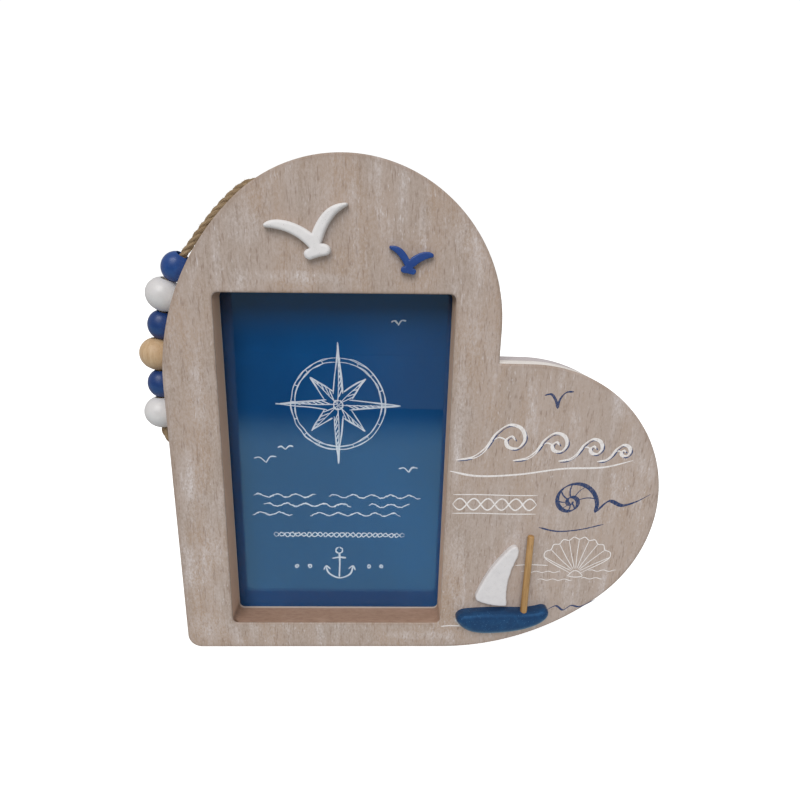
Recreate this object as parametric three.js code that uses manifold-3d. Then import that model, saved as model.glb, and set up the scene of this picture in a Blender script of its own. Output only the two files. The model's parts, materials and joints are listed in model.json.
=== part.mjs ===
// Heart-shaped standing picture frame of whitewashed wood: a thick block with a window for a small photograph,
// a string of beads along its left rim, and two gulls and a sailing boat on its front.
//
// Millimetres. +X is right, +Y goes away from the viewer and +Z is up. Places on the front are measured from the
// heart's lower left corner. The part's origin is on the base, at half the heart's width and half its depth.

import * as THREE from 'three';
import { mergeVertices } from 'three/addons/utils/BufferGeometryUtils.js';
import Module from 'manifold-3d';

const wasm = await Module();
wasm.setup();

// Photograph, and the wood round its window
const PHOTO_HEIGHT = 152.4;
const PHOTO_RATIO = 1.5; // height to width
const SIDE_LAP = 3.3; // hidden behind the window's sides
const END_LAP = 2.2; // hidden behind the window's head and foot
const WINDOW_CORNER = 3;
const WINDOW_LEFT = 21;
const WINDOW_RIGHT = 19; // to the notch
const WINDOW_FOOT = 13;

// Heart block
const LOBE_DROP = 12.3; // middle of the upper lobe below the window's head
const SHOULDER_INSET = 11.8; // lobe's side inside the line of the straight side below it
const FLANK_RADIUS = 98; // long arc between the left side and the upper lobe
const BELLY_RADIUS = 109; // long arc between the underside and the right lobe
const CORNER_RADIUS = 6;
const BLOCK_DEPTH = 22;
const EDGE_ROUND = 1;

// Layers behind the window
const GLASS_THICK = 2;
const CARD_THICK = 0.5;
const BOARD_THICK = 5;
const REBATE_SLIP = 0.5; // room round the glass, card and board
const SEAT_GAP = 0.3; // between pieces that lie or are glued together

// Turn buttons and their screws
const BUTTON_REACH = 15; // pivot to tip
const BUTTON_WIDTH = 8;
const BUTTON_THICK = 1;
const BUTTON_SETBACK = 7; // pivot to the rebate's edge
const BUTTON_SPREAD = 37; // above and below the window's middle
const SCREW_RADIUS = 1.3;
const SCREW_LENGTH = 12;
const SCREW_POINT = 3;
const SCREW_HEAD_RADIUS = 3;
const SCREW_HEAD_HEIGHT = 1.6;
const SCREW_SLIP = 0.25; // round the shank, in the wood and in the button

// Gulls
const WHITE_GULL_SPAN = 31.2;
const WHITE_GULL_THICK = 3.4;
const WHITE_GULL_AT = [-12.7, 33.5]; // between the wings, from the middle of the upper lobe
const BLUE_GULL_SPAN = 16;
const BLUE_GULL_THICK = 2.6;
const BLUE_GULL_AT = [24, 24.8];
const BLUE_GULL_TILT = 8; // degrees

// Sailing boat
const BOAT_AT = [5.3, -51.4]; // where the mast enters the deck, from the middle of the right lobe
const HULL_LENGTH = 42.4;
const HULL_DEPTH = 6.2;
const HULL_ROUND = 2.6;
const SAIL_HEIGHT = 31.6;
const SAIL_THICK = 2.6;
const SAIL_ROUND = 0.8;
const MAST_RADIUS = 1.55;
const MAST_HEIGHT = 38;
const MAST_TENON = 5; // depth of the mast's foot in the deck
const MAST_STANDOFF = 3.1; // mast's axis in front of the block

// Beads and twine
const LARGE_BEAD_RADIUS = 7.1;
const LARGE_BEAD_LENGTH = 13;
const SMALL_BEAD_RADIUS = 5.5;
const SMALL_BEAD_LENGTH = 11.2;
const BEAD_BORE_RADIUS = 2.3;
const BEAD_GAP = 0.5;
const FIRST_BEAD_ALONG = 56.2; // middle of the top bead from the twine's upper end
const TWINE_RADIUS = 1.4;
const TWINE_STEPS = 60;

// The twine's route from its upper end to its lower one. Each point is a distance up the left rim from the base,
// a distance out from the rim (inside the wood where negative) and a depth behind the front.
const TWINE_ROUTE = [
  [219.0, -6.0, 8.4],
  [215.8, -2.4, 8.4],
  [212.0, 0.8, 8.4],
  [207.6, 2.1, 8.5],
  [201.0, 2.6, 8.7],
  [193.4, 2.9, 9.0],
  [185.5, 3.3, 9.6],
  [177.0, 4.3, 10.7],
  [168.6, 5.95, 12.0],
  [156.9, 7.45, 13.4],
  [145.1, 6.4, 14.8],
  [133.6, 7.45, 15.6],
  [121.4, 6.4, 15.7],
  [109.0, 7.45, 15.9],
  [102.6, 7.4, 16.0],
  [98.0, 6.5, 16.0],
  [94.6, 3.8, 16.0],
  [93.2, -0.8, 16.0],
  [93.0, -6.4, 16.0],
];

// Facets
const ARC_STEPS = 12;
const OUTLINE_STEPS = 7;
const ROUND_STEPS = 2;
const HULL_STEPS = 7;
const SAIL_STEPS = 4;
const TURN_STEPS = 20;
const BEAD_STEPS = 9;
const HEAD_STEPS = 3;
const TWINE_SIDES = 8;
const CUT_MARGIN = 1; // how far a cutter runs past the face that it opens

const FRONT = -BLOCK_DEPTH / 2;
const BACK = BLOCK_DEPTH / 2;
const PHOTO_WIDTH = PHOTO_HEIGHT / PHOTO_RATIO;
const WINDOW_WIDTH = PHOTO_WIDTH - 2 * SIDE_LAP;
const WINDOW_HEIGHT = PHOTO_HEIGHT - 2 * END_LAP;
const HEART_SIDE = WINDOW_LEFT + WINDOW_WIDTH + WINDOW_RIGHT; // corner to notch, along both straight sides
const LOBE_RADIUS = (HEART_SIDE - SHOULDER_INSET) / 2;
const LOBE_HEIGHT = WINDOW_FOOT + WINDOW_HEIGHT - LOBE_DROP;
const LOBE_OFFSET = HEART_SIDE - LOBE_RADIUS;
const HEART_WIDTH = LOBE_HEIGHT + LOBE_RADIUS;
const FLANK_HEIGHT = straightEnd(FLANK_RADIUS);
const BELLY_START = straightEnd(BELLY_RADIUS);
const SHOULDER_ANGLE = Math.atan2(LOBE_HEIGHT - FLANK_HEIGHT, LOBE_OFFSET - FLANK_RADIUS);
const HIP_ANGLE = Math.atan2(LOBE_OFFSET - BELLY_RADIUS, LOBE_HEIGHT - BELLY_START);
const FLANK_LENGTH = FLANK_RADIUS * (Math.PI - SHOULDER_ANGLE);
const WINDOW_X = WINDOW_LEFT + WINDOW_WIDTH / 2;
const WINDOW_Z = WINDOW_FOOT + WINDOW_HEIGHT / 2;
const REBATE_WIDTH = PHOTO_WIDTH + 2 * REBATE_SLIP;
const REBATE_HEIGHT = PHOTO_HEIGHT + 2 * REBATE_SLIP;
const REBATE_DEPTH = GLASS_THICK + CARD_THICK + BOARD_THICK + 4 * SEAT_GAP;

const FINISHES = {
  limedWood: { color: 0xaa9b8c, roughness: 0.85, metalness: 0 },
  glass: { color: 0xdfe8ee, roughness: 0.05, metalness: 0 },
  card: { color: 0x1f4f86, roughness: 0.6, metalness: 0 },
  board: { color: 0x8a6a4a, roughness: 0.9, metalness: 0 },
  brass: { color: 0xb08d4a, roughness: 0.35, metalness: 1 },
  whitePaint: { color: 0xe6e5e3, roughness: 0.5, metalness: 0 },
  bluePaint: { color: 0x1f4a85, roughness: 0.35, metalness: 0 },
  oiledWood: { color: 0xb08040, roughness: 0.6, metalness: 0 },
  paleWood: { color: 0xd8b384, roughness: 0.6, metalness: 0 },
  jute: { color: 0xa5835a, roughness: 0.95, metalness: 0 },
};

const part = new THREE.Group();
part.position.x = -HEART_WIDTH / 2;

/** Adds a named piece and returns its mesh. */
function add(name, geometry, finish, x = 0, y = 0, z = 0) {
  const mesh = new THREE.Mesh(geometry, new THREE.MeshStandardMaterial(FINISHES[finish]));
  mesh.name = name;
  mesh.position.set(x, y, z);
  part.add(mesh);
  return mesh;
}

/** A closed geometry as a solid that can be cut. */
function solid(geometry) {
  const bare = geometry.clone();
  bare.deleteAttribute('normal');
  bare.deleteAttribute('uv');
  const merged = mergeVertices(bare);
  const vertProperties = new Float32Array(merged.attributes.position.array);
  const triVerts = new Uint32Array(merged.index.array);
  return new wasm.Manifold(new wasm.Mesh({ numProp: 3, vertProperties, triVerts }));
}

/** The geometry with every cutter taken away from it. */
function cut(geometry, cutters) {
  let body = solid(geometry);
  for (const cutter of cutters) {
    body = body.subtract(solid(cutter));
  }
  const { vertProperties, triVerts } = body.getMesh();
  const result = new THREE.BufferGeometry();
  result.setAttribute('position', new THREE.BufferAttribute(vertProperties, 3));
  result.setIndex(new THREE.BufferAttribute(triVerts, 1));
  result.computeVertexNormals();
  return result;
}

/** An outline in the front's plane, carried forwards from its back face, with its edges rounded. */
function slab(outline, back, depth, round = 0, curveSegments = OUTLINE_STEPS) {
  const geometry = new THREE.ExtrudeGeometry(outline, {
    depth: depth - 2 * round,
    bevelEnabled: round > 0,
    bevelThickness: round,
    bevelSize: round,
    bevelOffset: -round,
    bevelSegments: ROUND_STEPS,
    curveSegments,
  });
  geometry.rotateX(Math.PI / 2);
  geometry.translate(0, back - round, 0);
  return geometry;
}

/** An outline carried forwards from its flat back face, drawn in all round as its front rounds over. */
function pillow(outline, back, depth, round, steps) {
  const geometry = new THREE.ExtrudeGeometry(outline, {
    depth,
    steps,
    bevelEnabled: false,
    curveSegments: OUTLINE_STEPS,
  });
  geometry.computeBoundingBox();
  const middle = geometry.boundingBox.getCenter(new THREE.Vector3());
  const half = geometry.boundingBox.getSize(new THREE.Vector3()).divideScalar(2);
  const point = new THREE.Vector3();
  const place = geometry.attributes.position;
  for (let index = 0; index < place.count; index += 1) {
    point.fromBufferAttribute(place, index);
    const over = Math.max(0, point.z - depth + round);
    const inset = round - Math.sqrt(Math.max(0, round ** 2 - over ** 2));
    const x = middle.x + (point.x - middle.x) * (1 - inset / half.x);
    const y = middle.y + (point.y - middle.y) * (1 - inset / half.y);
    place.setXY(index, x, y);
  }
  geometry.rotateX(Math.PI / 2);
  geometry.translate(0, back, 0);
  return geometry;
}

/** A round bar along Y between two depths. */
function bar(radius, from, to, x, z) {
  const geometry = new THREE.CylinderGeometry(radius, radius, to - from, TURN_STEPS);
  geometry.translate(x, (from + to) / 2, z);
  return geometry;
}

/** A rectangle about a middle point, with round corners. */
function rectangle(x, z, width, height, corner) {
  const right = x + width / 2 - corner;
  const left = x - width / 2 + corner;
  const top = z + height / 2 - corner;
  const bottom = z - height / 2 + corner;
  const outline = new THREE.Shape();
  if (corner === 0) {
    return outline.moveTo(left, bottom).lineTo(right, bottom).lineTo(right, top).lineTo(left, top);
  }
  outline.absarc(right, top, corner, 0, Math.PI / 2);
  outline.absarc(left, top, corner, Math.PI / 2, Math.PI);
  outline.absarc(left, bottom, corner, Math.PI, 1.5 * Math.PI);
  outline.absarc(right, bottom, corner, 1.5 * Math.PI, 2 * Math.PI);
  return outline;
}

/** Where a straight side ends, from the heart's corner, and an arc of a radius takes it to its lobe. */
function straightEnd(radius) {
  return LOBE_HEIGHT - Math.sqrt((radius - LOBE_RADIUS) ** 2 - (radius - LOBE_OFFSET) ** 2);
}

/** The heart's outline from its notch, round the upper lobe, the left side, the underside and the right lobe. */
function heart() {
  const quarter = Math.PI / 2;
  const outline = new THREE.Shape();
  outline.moveTo(HEART_SIDE, HEART_SIDE);
  outline.lineTo(HEART_SIDE, LOBE_HEIGHT);
  outline.absarc(LOBE_OFFSET, LOBE_HEIGHT, LOBE_RADIUS, 0, SHOULDER_ANGLE);
  outline.absarc(FLANK_RADIUS, FLANK_HEIGHT, FLANK_RADIUS, SHOULDER_ANGLE, Math.PI);
  outline.absarc(CORNER_RADIUS, CORNER_RADIUS, CORNER_RADIUS, Math.PI, 3 * quarter);
  outline.absarc(BELLY_START, BELLY_RADIUS, BELLY_RADIUS, -quarter, HIP_ANGLE);
  outline.absarc(LOBE_HEIGHT, LOBE_OFFSET, LOBE_RADIUS, HIP_ANGLE, quarter);
  return outline;
}

/** A point beside the left rim: up along it, out from it, and behind the front. */
function besideRim([along, out, depth]) {
  const y = FRONT + depth;
  if (along < FLANK_HEIGHT) {
    return new THREE.Vector3(-out, y, along);
  }
  const onFlank = along - FLANK_HEIGHT < FLANK_LENGTH;
  const radius = onFlank ? FLANK_RADIUS : LOBE_RADIUS;
  const angle = onFlank
    ? Math.PI - (along - FLANK_HEIGHT) / FLANK_RADIUS
    : SHOULDER_ANGLE - (along - FLANK_HEIGHT - FLANK_LENGTH) / LOBE_RADIUS;
  const x = onFlank ? FLANK_RADIUS : LOBE_OFFSET;
  const z = onFlank ? FLANK_HEIGHT : LOBE_HEIGHT;
  return new THREE.Vector3(x + (radius + out) * Math.cos(angle), y, z + (radius + out) * Math.sin(angle));
}

/** A round cord along a curve. */
function cord(curve, radius, sides, steps) {
  const section = new THREE.Shape();
  section.absarc(0, 0, radius, 0, 2 * Math.PI);
  return new THREE.ExtrudeGeometry(section, { steps, curveSegments: sides / 2, extrudePath: curve });
}

/** The twine's line, run on past both ends by a distance. */
function twineLine(past) {
  const points = TWINE_ROUTE.map(besideRim);
  const lengthen = (end, inner) => end.add(end.clone().sub(inner).setLength(past));
  if (past > 0) {
    lengthen(points[0], points[1]);
    lengthen(points[points.length - 1], points[points.length - 2]);
  }
  return new THREE.CatmullRomCurve3(points);
}

/** Places of the turn buttons' pivots, with the turn that points each at the board. */
function buttonPivots() {
  const left = WINDOW_X - REBATE_WIDTH / 2 - BUTTON_SETBACK;
  const right = WINDOW_X + REBATE_WIDTH / 2 + BUTTON_SETBACK;
  const heights = [WINDOW_Z - BUTTON_SPREAD, WINDOW_Z + BUTTON_SPREAD];
  return [
    ...heights.map((z) => ({ x: left, z, turn: 0 })),
    ...heights.map((z) => ({ x: right, z, turn: Math.PI })),
  ];
}

/** The wooden block with its window, rebate, screw holes and the holes that hold the twine's ends. */
function addBlock() {
  const block = slab(heart(), BACK, BLOCK_DEPTH, EDGE_ROUND, ARC_STEPS);
  const window = rectangle(WINDOW_X, WINDOW_Z, WINDOW_WIDTH, WINDOW_HEIGHT, WINDOW_CORNER);
  const rebate = rectangle(WINDOW_X, WINDOW_Z, REBATE_WIDTH, REBATE_HEIGHT, 0);
  const screwTip = BACK + BUTTON_THICK + 2 * SEAT_GAP - SCREW_LENGTH;
  const cutters = [
    slab(window, BACK + CUT_MARGIN, BLOCK_DEPTH + 2 * CUT_MARGIN),
    slab(rebate, BACK + CUT_MARGIN, REBATE_DEPTH + CUT_MARGIN),
    cord(twineLine(SEAT_GAP), TWINE_RADIUS + SEAT_GAP, TURN_STEPS / 2, TWINE_STEPS),
  ];
  for (const { x, z } of buttonPivots()) {
    cutters.push(bar(SCREW_RADIUS + SCREW_SLIP, screwTip - SEAT_GAP, BACK + CUT_MARGIN, x, z));
  }
  add('frame_body', cut(block, cutters), 'limedWood');
}

/** Glass, card and backing board, one behind the other in the rebate. */
function addLayers() {
  const layers = [
    ['glass_pane', GLASS_THICK, 'glass'],
    ['picture_card', CARD_THICK, 'card'],
    ['backing_board', BOARD_THICK, 'board'],
  ];
  let front = BACK - REBATE_DEPTH + SEAT_GAP;
  for (const [name, thick, finish] of layers) {
    const sheet = new THREE.BoxGeometry(PHOTO_WIDTH, thick, PHOTO_HEIGHT);
    add(name, sheet, finish, WINDOW_X, front + thick / 2, WINDOW_Z);
    front += thick + SEAT_GAP;
  }
}

/** Turn buttons on the back, each on its own screw. */
function addTurnButtons() {
  const end = BUTTON_WIDTH / 2;
  const plate = new THREE.Shape();
  plate.absarc(0, 0, end, Math.PI / 2, 1.5 * Math.PI);
  plate.absarc(BUTTON_REACH - end, 0, end, -Math.PI / 2, Math.PI / 2);
  const hole = new THREE.Path();
  hole.absarc(0, 0, SCREW_RADIUS + SCREW_SLIP, 0, 2 * Math.PI, true);
  plate.holes.push(hole);
  const headSeat = BUTTON_THICK + 2 * SEAT_GAP;
  const profile = [
    new THREE.Vector2(0, headSeat - SCREW_LENGTH),
    new THREE.Vector2(SCREW_RADIUS, headSeat - SCREW_LENGTH + SCREW_POINT),
    new THREE.Vector2(SCREW_RADIUS, headSeat),
  ];
  for (let step = 0; step < HEAD_STEPS; step += 1) {
    const angle = Math.PI / 2 * step / HEAD_STEPS;
    const rise = SCREW_HEAD_HEIGHT * Math.sin(angle);
    profile.push(new THREE.Vector2(SCREW_HEAD_RADIUS * Math.cos(angle), headSeat + rise));
  }
  profile.push(new THREE.Vector2(0, headSeat + SCREW_HEAD_HEIGHT));
  buttonPivots().forEach(({ x, z, turn }, index) => {
    const button = slab(plate, SEAT_GAP + BUTTON_THICK, BUTTON_THICK);
    add(`turn_button_${index + 1}`, button, 'brass', x, BACK, z).rotation.y = turn;
    const screw = new THREE.LatheGeometry(profile, TURN_STEPS);
    add(`turn_button_screw_${index + 1}`, screw, 'brass', x, BACK, z);
  });
}

/** A flying gull about the point between its wings, drawn in hundredths of its span. */
function gull(span) {
  const unit = span / 100;
  const at = (points) => points.map((value) => value * unit);
  const outline = new THREE.Shape();
  outline.moveTo(...at([-56, 9]));
  outline.bezierCurveTo(...at([-45, 19, -16, 13, 0, 0]));
  outline.bezierCurveTo(...at([7, 18, 19, 35, 42, 35]));
  outline.quadraticCurveTo(...at([44, 34, 42, 32]));
  outline.bezierCurveTo(...at([27, 24, 18, 12, 11, -11]));
  outline.bezierCurveTo(...at([24, -10, 26, -23, 15, -25]));
  outline.quadraticCurveTo(...at([7, -26, -2, -30]));
  outline.bezierCurveTo(...at([-9, -31, -15, -20, -3, -17]));
  outline.bezierCurveTo(...at([-14, -5, -30, 4, -55, 5]));
  outline.quadraticCurveTo(...at([-58, 6, -56, 9]));
  return outline;
}

/** The two gulls, glued to the front. */
function addGulls() {
  const glueLine = FRONT - SEAT_GAP;
  const white = slab(gull(WHITE_GULL_SPAN), glueLine, WHITE_GULL_THICK);
  add('white_gull', white, 'whitePaint', LOBE_OFFSET + WHITE_GULL_AT[0], 0, LOBE_HEIGHT + WHITE_GULL_AT[1]);
  const mirrored = new THREE.Shape(gull(BLUE_GULL_SPAN).getPoints(OUTLINE_STEPS).map(({ x, y }) => (
    new THREE.Vector2(-x, y).rotateAround(new THREE.Vector2(), THREE.MathUtils.degToRad(BLUE_GULL_TILT))
  )));
  const blue = slab(mirrored, glueLine, BLUE_GULL_THICK);
  add('blue_gull', blue, 'bluePaint', LOBE_OFFSET + BLUE_GULL_AT[0], 0, LOBE_HEIGHT + BLUE_GULL_AT[1]);
}

/** The hull's side about the mast's foot, drawn in hundredths of its length. */
function hullSide() {
  const unit = HULL_LENGTH / 100;
  const at = (points) => points.map((value) => value * unit);
  const outline = new THREE.Shape();
  outline.moveTo(...at([-63.2, -1.6]));
  outline.quadraticCurveTo(...at([-33.5, 1, -5.7, 0]));
  outline.quadraticCurveTo(...at([7.7, 0.2, 16.3, 2.8]));
  outline.bezierCurveTo(...at([24.5, 6.1, 30.7, 0.9, 25, -8.5]));
  outline.bezierCurveTo(...at([15.1, -22.2, -11.6, -27.9, -39.2, -27.9]));
  outline.bezierCurveTo(...at([-58.3, -27.9, -67.5, -18.9, -71.7, -11.3]));
  outline.bezierCurveTo(...at([-74.3, -7.2, -71.7, -1.9, -63.2, -1.6]));
  return outline;
}

/** The sail about the mast's foot, drawn in hundredths of its height. */
function sailSide() {
  const unit = SAIL_HEIGHT / 100;
  const at = (points) => points.map((value) => value * unit);
  const outline = new THREE.Shape();
  outline.moveTo(...at([-27.8, 5.6]));
  outline.quadraticCurveTo(...at([-24.8, 5.6, -24.8, 9.6]));
  outline.quadraticCurveTo(...at([-30.8, 46.6, -15.8, 82.6]));
  outline.bezierCurveTo(...at([-11.3, 93.6, -14.8, 106.1, -24.8, 100.1]));
  outline.quadraticCurveTo(...at([-55.8, 67.6, -69.8, 25.6]));
  outline.quadraticCurveTo(...at([-73.8, 15.6, -64.3, 12.6]));
  outline.quadraticCurveTo(...at([-48.8, 5.6, -27.8, 5.6]));
  return outline;
}

/** Hull and sail glued to the front, and the mast in its hole in the deck. */
function addBoat() {
  const x = LOBE_HEIGHT + BOAT_AT[0];
  const z = LOBE_OFFSET + BOAT_AT[1];
  const glueLine = FRONT - SEAT_GAP;
  const mastY = FRONT - MAST_STANDOFF;
  const hole = new THREE.CylinderGeometry(
    MAST_RADIUS + SEAT_GAP,
    MAST_RADIUS + SEAT_GAP,
    MAST_TENON + SEAT_GAP + CUT_MARGIN,
    TURN_STEPS,
  );
  hole.rotateX(Math.PI / 2);
  hole.translate(0, mastY, (CUT_MARGIN - MAST_TENON - SEAT_GAP) / 2);
  const hull = pillow(hullSide(), glueLine, HULL_DEPTH, HULL_ROUND, HULL_STEPS);
  add('boat_hull', cut(hull, [hole]), 'bluePaint', x, 0, z);
  const sail = pillow(sailSide(), glueLine, SAIL_THICK, SAIL_ROUND, SAIL_STEPS);
  add('boat_sail', sail, 'whitePaint', x, 0, z);
  const mast = new THREE.CylinderGeometry(MAST_RADIUS, MAST_RADIUS, MAST_TENON + MAST_HEIGHT, TURN_STEPS);
  mast.rotateX(Math.PI / 2);
  add('boat_mast', mast, 'oiledWood', x, mastY, z + (MAST_HEIGHT - MAST_TENON) / 2);
}

/** A bored bead about its middle, flattened at both ends, with its bore along Y. */
function bead(radius, length) {
  const mouth = Math.acos(BEAD_BORE_RADIUS / radius);
  const half = length / 2 / Math.sin(mouth);
  const profile = [];
  for (let step = 0; step <= BEAD_STEPS; step += 1) {
    const angle = mouth * (2 * step / BEAD_STEPS - 1);
    profile.push(new THREE.Vector2(radius * Math.cos(angle), half * Math.sin(angle)));
  }
  profile.push(profile[0].clone());
  return new THREE.LatheGeometry(profile, TURN_STEPS);
}

/** The twine, and the beads threaded on it one against the next. */
function addBeadString() {
  const line = twineLine(0);
  add('twine', cord(line, TWINE_RADIUS, TWINE_SIDES, TWINE_STEPS), 'jute');
  const small = { radius: SMALL_BEAD_RADIUS, length: SMALL_BEAD_LENGTH };
  const large = { radius: LARGE_BEAD_RADIUS, length: LARGE_BEAD_LENGTH };
  const threaded = [
    { ...small, finish: 'bluePaint' },
    { ...large, finish: 'whitePaint' },
    { ...small, finish: 'bluePaint' },
    { ...large, finish: 'paleWood' },
    { ...small, finish: 'bluePaint' },
    { ...large, finish: 'whitePaint' },
  ];
  const along = new THREE.Vector3(0, 1, 0);
  let middle = FIRST_BEAD_ALONG;
  threaded.forEach(({ radius, length, finish }, index) => {
    if (index > 0) {
      middle += (threaded[index - 1].length + length) / 2 + BEAD_GAP;
    }
    const share = middle / line.getLength();
    const { x, y, z } = line.getPointAt(share);
    const mesh = add(`bead_${index + 1}`, bead(radius, length), finish, x, y, z);
    mesh.quaternion.setFromUnitVectors(along, line.getTangentAt(share));
  });
}

addBlock();
addLayers();
addTurnButtons();
addGulls();
addBoat();
addBeadString();

export default part;
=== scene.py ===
"""Looks of a heart-shaped wooden picture frame with a window, seaside ornaments and a string of beads."""

import json
import logging
import math
import random
from collections.abc import Callable, Sequence
from dataclasses import dataclass
from enum import Enum
from functools import reduce

import bmesh
import bpy
import numpy as np
from mathutils import Matrix, Vector
from mathutils.geometry import delaunay_2d_cdt

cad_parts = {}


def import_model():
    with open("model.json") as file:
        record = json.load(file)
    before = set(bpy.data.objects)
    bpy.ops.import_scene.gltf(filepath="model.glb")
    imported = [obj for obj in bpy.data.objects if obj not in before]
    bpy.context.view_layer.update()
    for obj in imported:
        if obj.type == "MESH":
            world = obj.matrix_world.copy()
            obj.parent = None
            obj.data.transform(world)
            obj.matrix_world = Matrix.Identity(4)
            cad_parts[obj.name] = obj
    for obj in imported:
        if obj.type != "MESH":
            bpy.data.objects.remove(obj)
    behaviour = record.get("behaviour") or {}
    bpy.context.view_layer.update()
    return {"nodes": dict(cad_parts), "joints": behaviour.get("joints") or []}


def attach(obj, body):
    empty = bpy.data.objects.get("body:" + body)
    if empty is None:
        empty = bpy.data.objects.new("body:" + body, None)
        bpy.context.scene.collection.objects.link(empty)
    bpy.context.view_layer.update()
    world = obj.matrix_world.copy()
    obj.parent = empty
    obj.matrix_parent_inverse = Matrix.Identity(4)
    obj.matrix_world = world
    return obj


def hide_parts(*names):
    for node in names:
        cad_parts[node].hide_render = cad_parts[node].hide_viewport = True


LOG = logging.getLogger("picture_frame")
MM = 0.001
TURN = 2 * math.pi
QUARTER = math.pi / 2
HALF_WIDTH = 105.15  # from the heart's left edge to the part's middle
FRONT = -11.0
BACK = 11.0
FRAME_BODY = "frame"
OWN = "own"  # the attribute that keeps a piece's place from before it is moved

Colour = tuple[float, float, float, float]
Flat = tuple[float, float]
Spot = tuple[float, float, float]
Sides = tuple[float, float, float, float]
Path = tuple[tuple[float, ...], ...]
Field = Callable[[np.ndarray], np.ndarray]
BLACK: Colour = (0.0, 0.0, 0.0, 1.0)
WHITE: Colour = (1.0, 1.0, 1.0, 1.0)


def rgb(red: int, green: int, blue: int) -> Colour:
    """Turn a screen colour into linear light.

    Args:
        red: its red, from 0 to 255.
        green: its green.
        blue: its blue.

    Returns:
        The opaque colour.
    """
    def linear(part: int) -> float:
        """Turn one channel into linear light."""
        share = part / 255
        return share / 12.92 if share <= 0.04045 else ((share + 0.055) / 1.055) ** 2.4
    return linear(red), linear(green), linear(blue), 1.0


def polar(middle: Flat, radius: float, angle: float) -> Flat:
    """Give the flat point at a radius and an angle from a middle."""
    return middle[0] + radius * math.cos(angle), middle[1] + radius * math.sin(angle)


def circle(middle: Flat, radius: float, steps: int) -> list[Flat]:
    """Give a circle's points, the first to the right of its middle."""
    return [polar(middle, radius, TURN * i / steps) for i in range(steps)]


# Nodes


class Sock:
    """A node's output, on which arithmetic adds Math nodes."""

    def __init__(self, graph: "Graph", socket: bpy.types.NodeSocket) -> None:
        """Hold one output of a graph's node."""
        self.graph = graph
        self.socket = socket

    def math(self, operation: str, first: "Sock | float", second: "Sock | float" = 0.0) -> "Sock":
        """Add a Math node on two values and give its result."""
        return self.graph.node("ShaderNodeMath", {"operation": operation}, {0: first, 1: second})

    def __add__(self, other: "Sock | float") -> "Sock":
        """Add a value."""
        return self.math("ADD", self, other)

    def __sub__(self, other: "Sock | float") -> "Sock":
        """Take a value away."""
        return self.math("SUBTRACT", self, other)

    def __rsub__(self, other: float) -> "Sock":
        """Take this from a number."""
        return self.math("SUBTRACT", other, self)

    def __mul__(self, other: "Sock | float") -> "Sock":
        """Multiply by a value."""
        return self.math("MULTIPLY", self, other)

    def __truediv__(self, other: "Sock | float") -> "Sock":
        """Divide by a value."""
        return self.math("DIVIDE", self, other)

    def __rtruediv__(self, other: float) -> "Sock":
        """Divide a number by this."""
        return self.math("DIVIDE", other, self)

    def __abs__(self) -> "Sock":
        """Drop the sign."""
        return self.math("ABSOLUTE", self)

    __radd__ = __add__
    __rmul__ = __mul__

    def sine(self) -> "Sock":
        """Take the sine."""
        return self.math("SINE", self)

    def cosine(self) -> "Sock":
        """Take the cosine."""
        return self.math("COSINE", self)

    def most(self, other: "Sock | float") -> "Sock":
        """Keep the larger value."""
        return self.math("MAXIMUM", self, other)

    def least(self, other: "Sock | float") -> "Sock":
        """Keep the smaller value."""
        return self.math("MINIMUM", self, other)

    def ease(self, low: float, high: float, start: float = 0.0, end: float = 1.0) -> "Sock":
        """Step smoothly from a start level to an end level, between a low and a high value."""
        return self.graph.node("ShaderNodeMapRange", {"interpolation_type": "SMOOTHSTEP"},
                               {0: self, 1: low, 2: high, 3: start, 4: end})

    def other(self, name: str | int) -> "Sock":
        """Give another output of the same node."""
        return Sock(self.graph, self.socket.node.outputs[name])


Value = Sock | float | Sequence[float]


class Graph:
    """A node tree that is filled in code."""

    def __init__(self, tree: bpy.types.NodeTree) -> None:
        """Hold the tree."""
        self.tree = tree

    def node(self, kind: str, settings: dict[str, object] | None = None,
             sockets: dict[int | str, Value] | None = None, out: int | str = 0) -> Sock:
        """Add a node.

        Args:
            kind: the node's type.
            settings: its own settings, set first.
            sockets: values or links by input.
            out: the output that is wanted.

        Returns:
            That output.
        """
        made = self.tree.nodes.new(kind)
        for name, value in (settings or {}).items():
            setattr(made, name, value)
        for key, value in (sockets or {}).items():
            if isinstance(value, Sock):
                self.tree.links.new(value.socket, made.inputs[key])
            else:
                made.inputs[key].default_value = value
        return Sock(self, made.outputs[out] if made.outputs else None)


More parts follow.
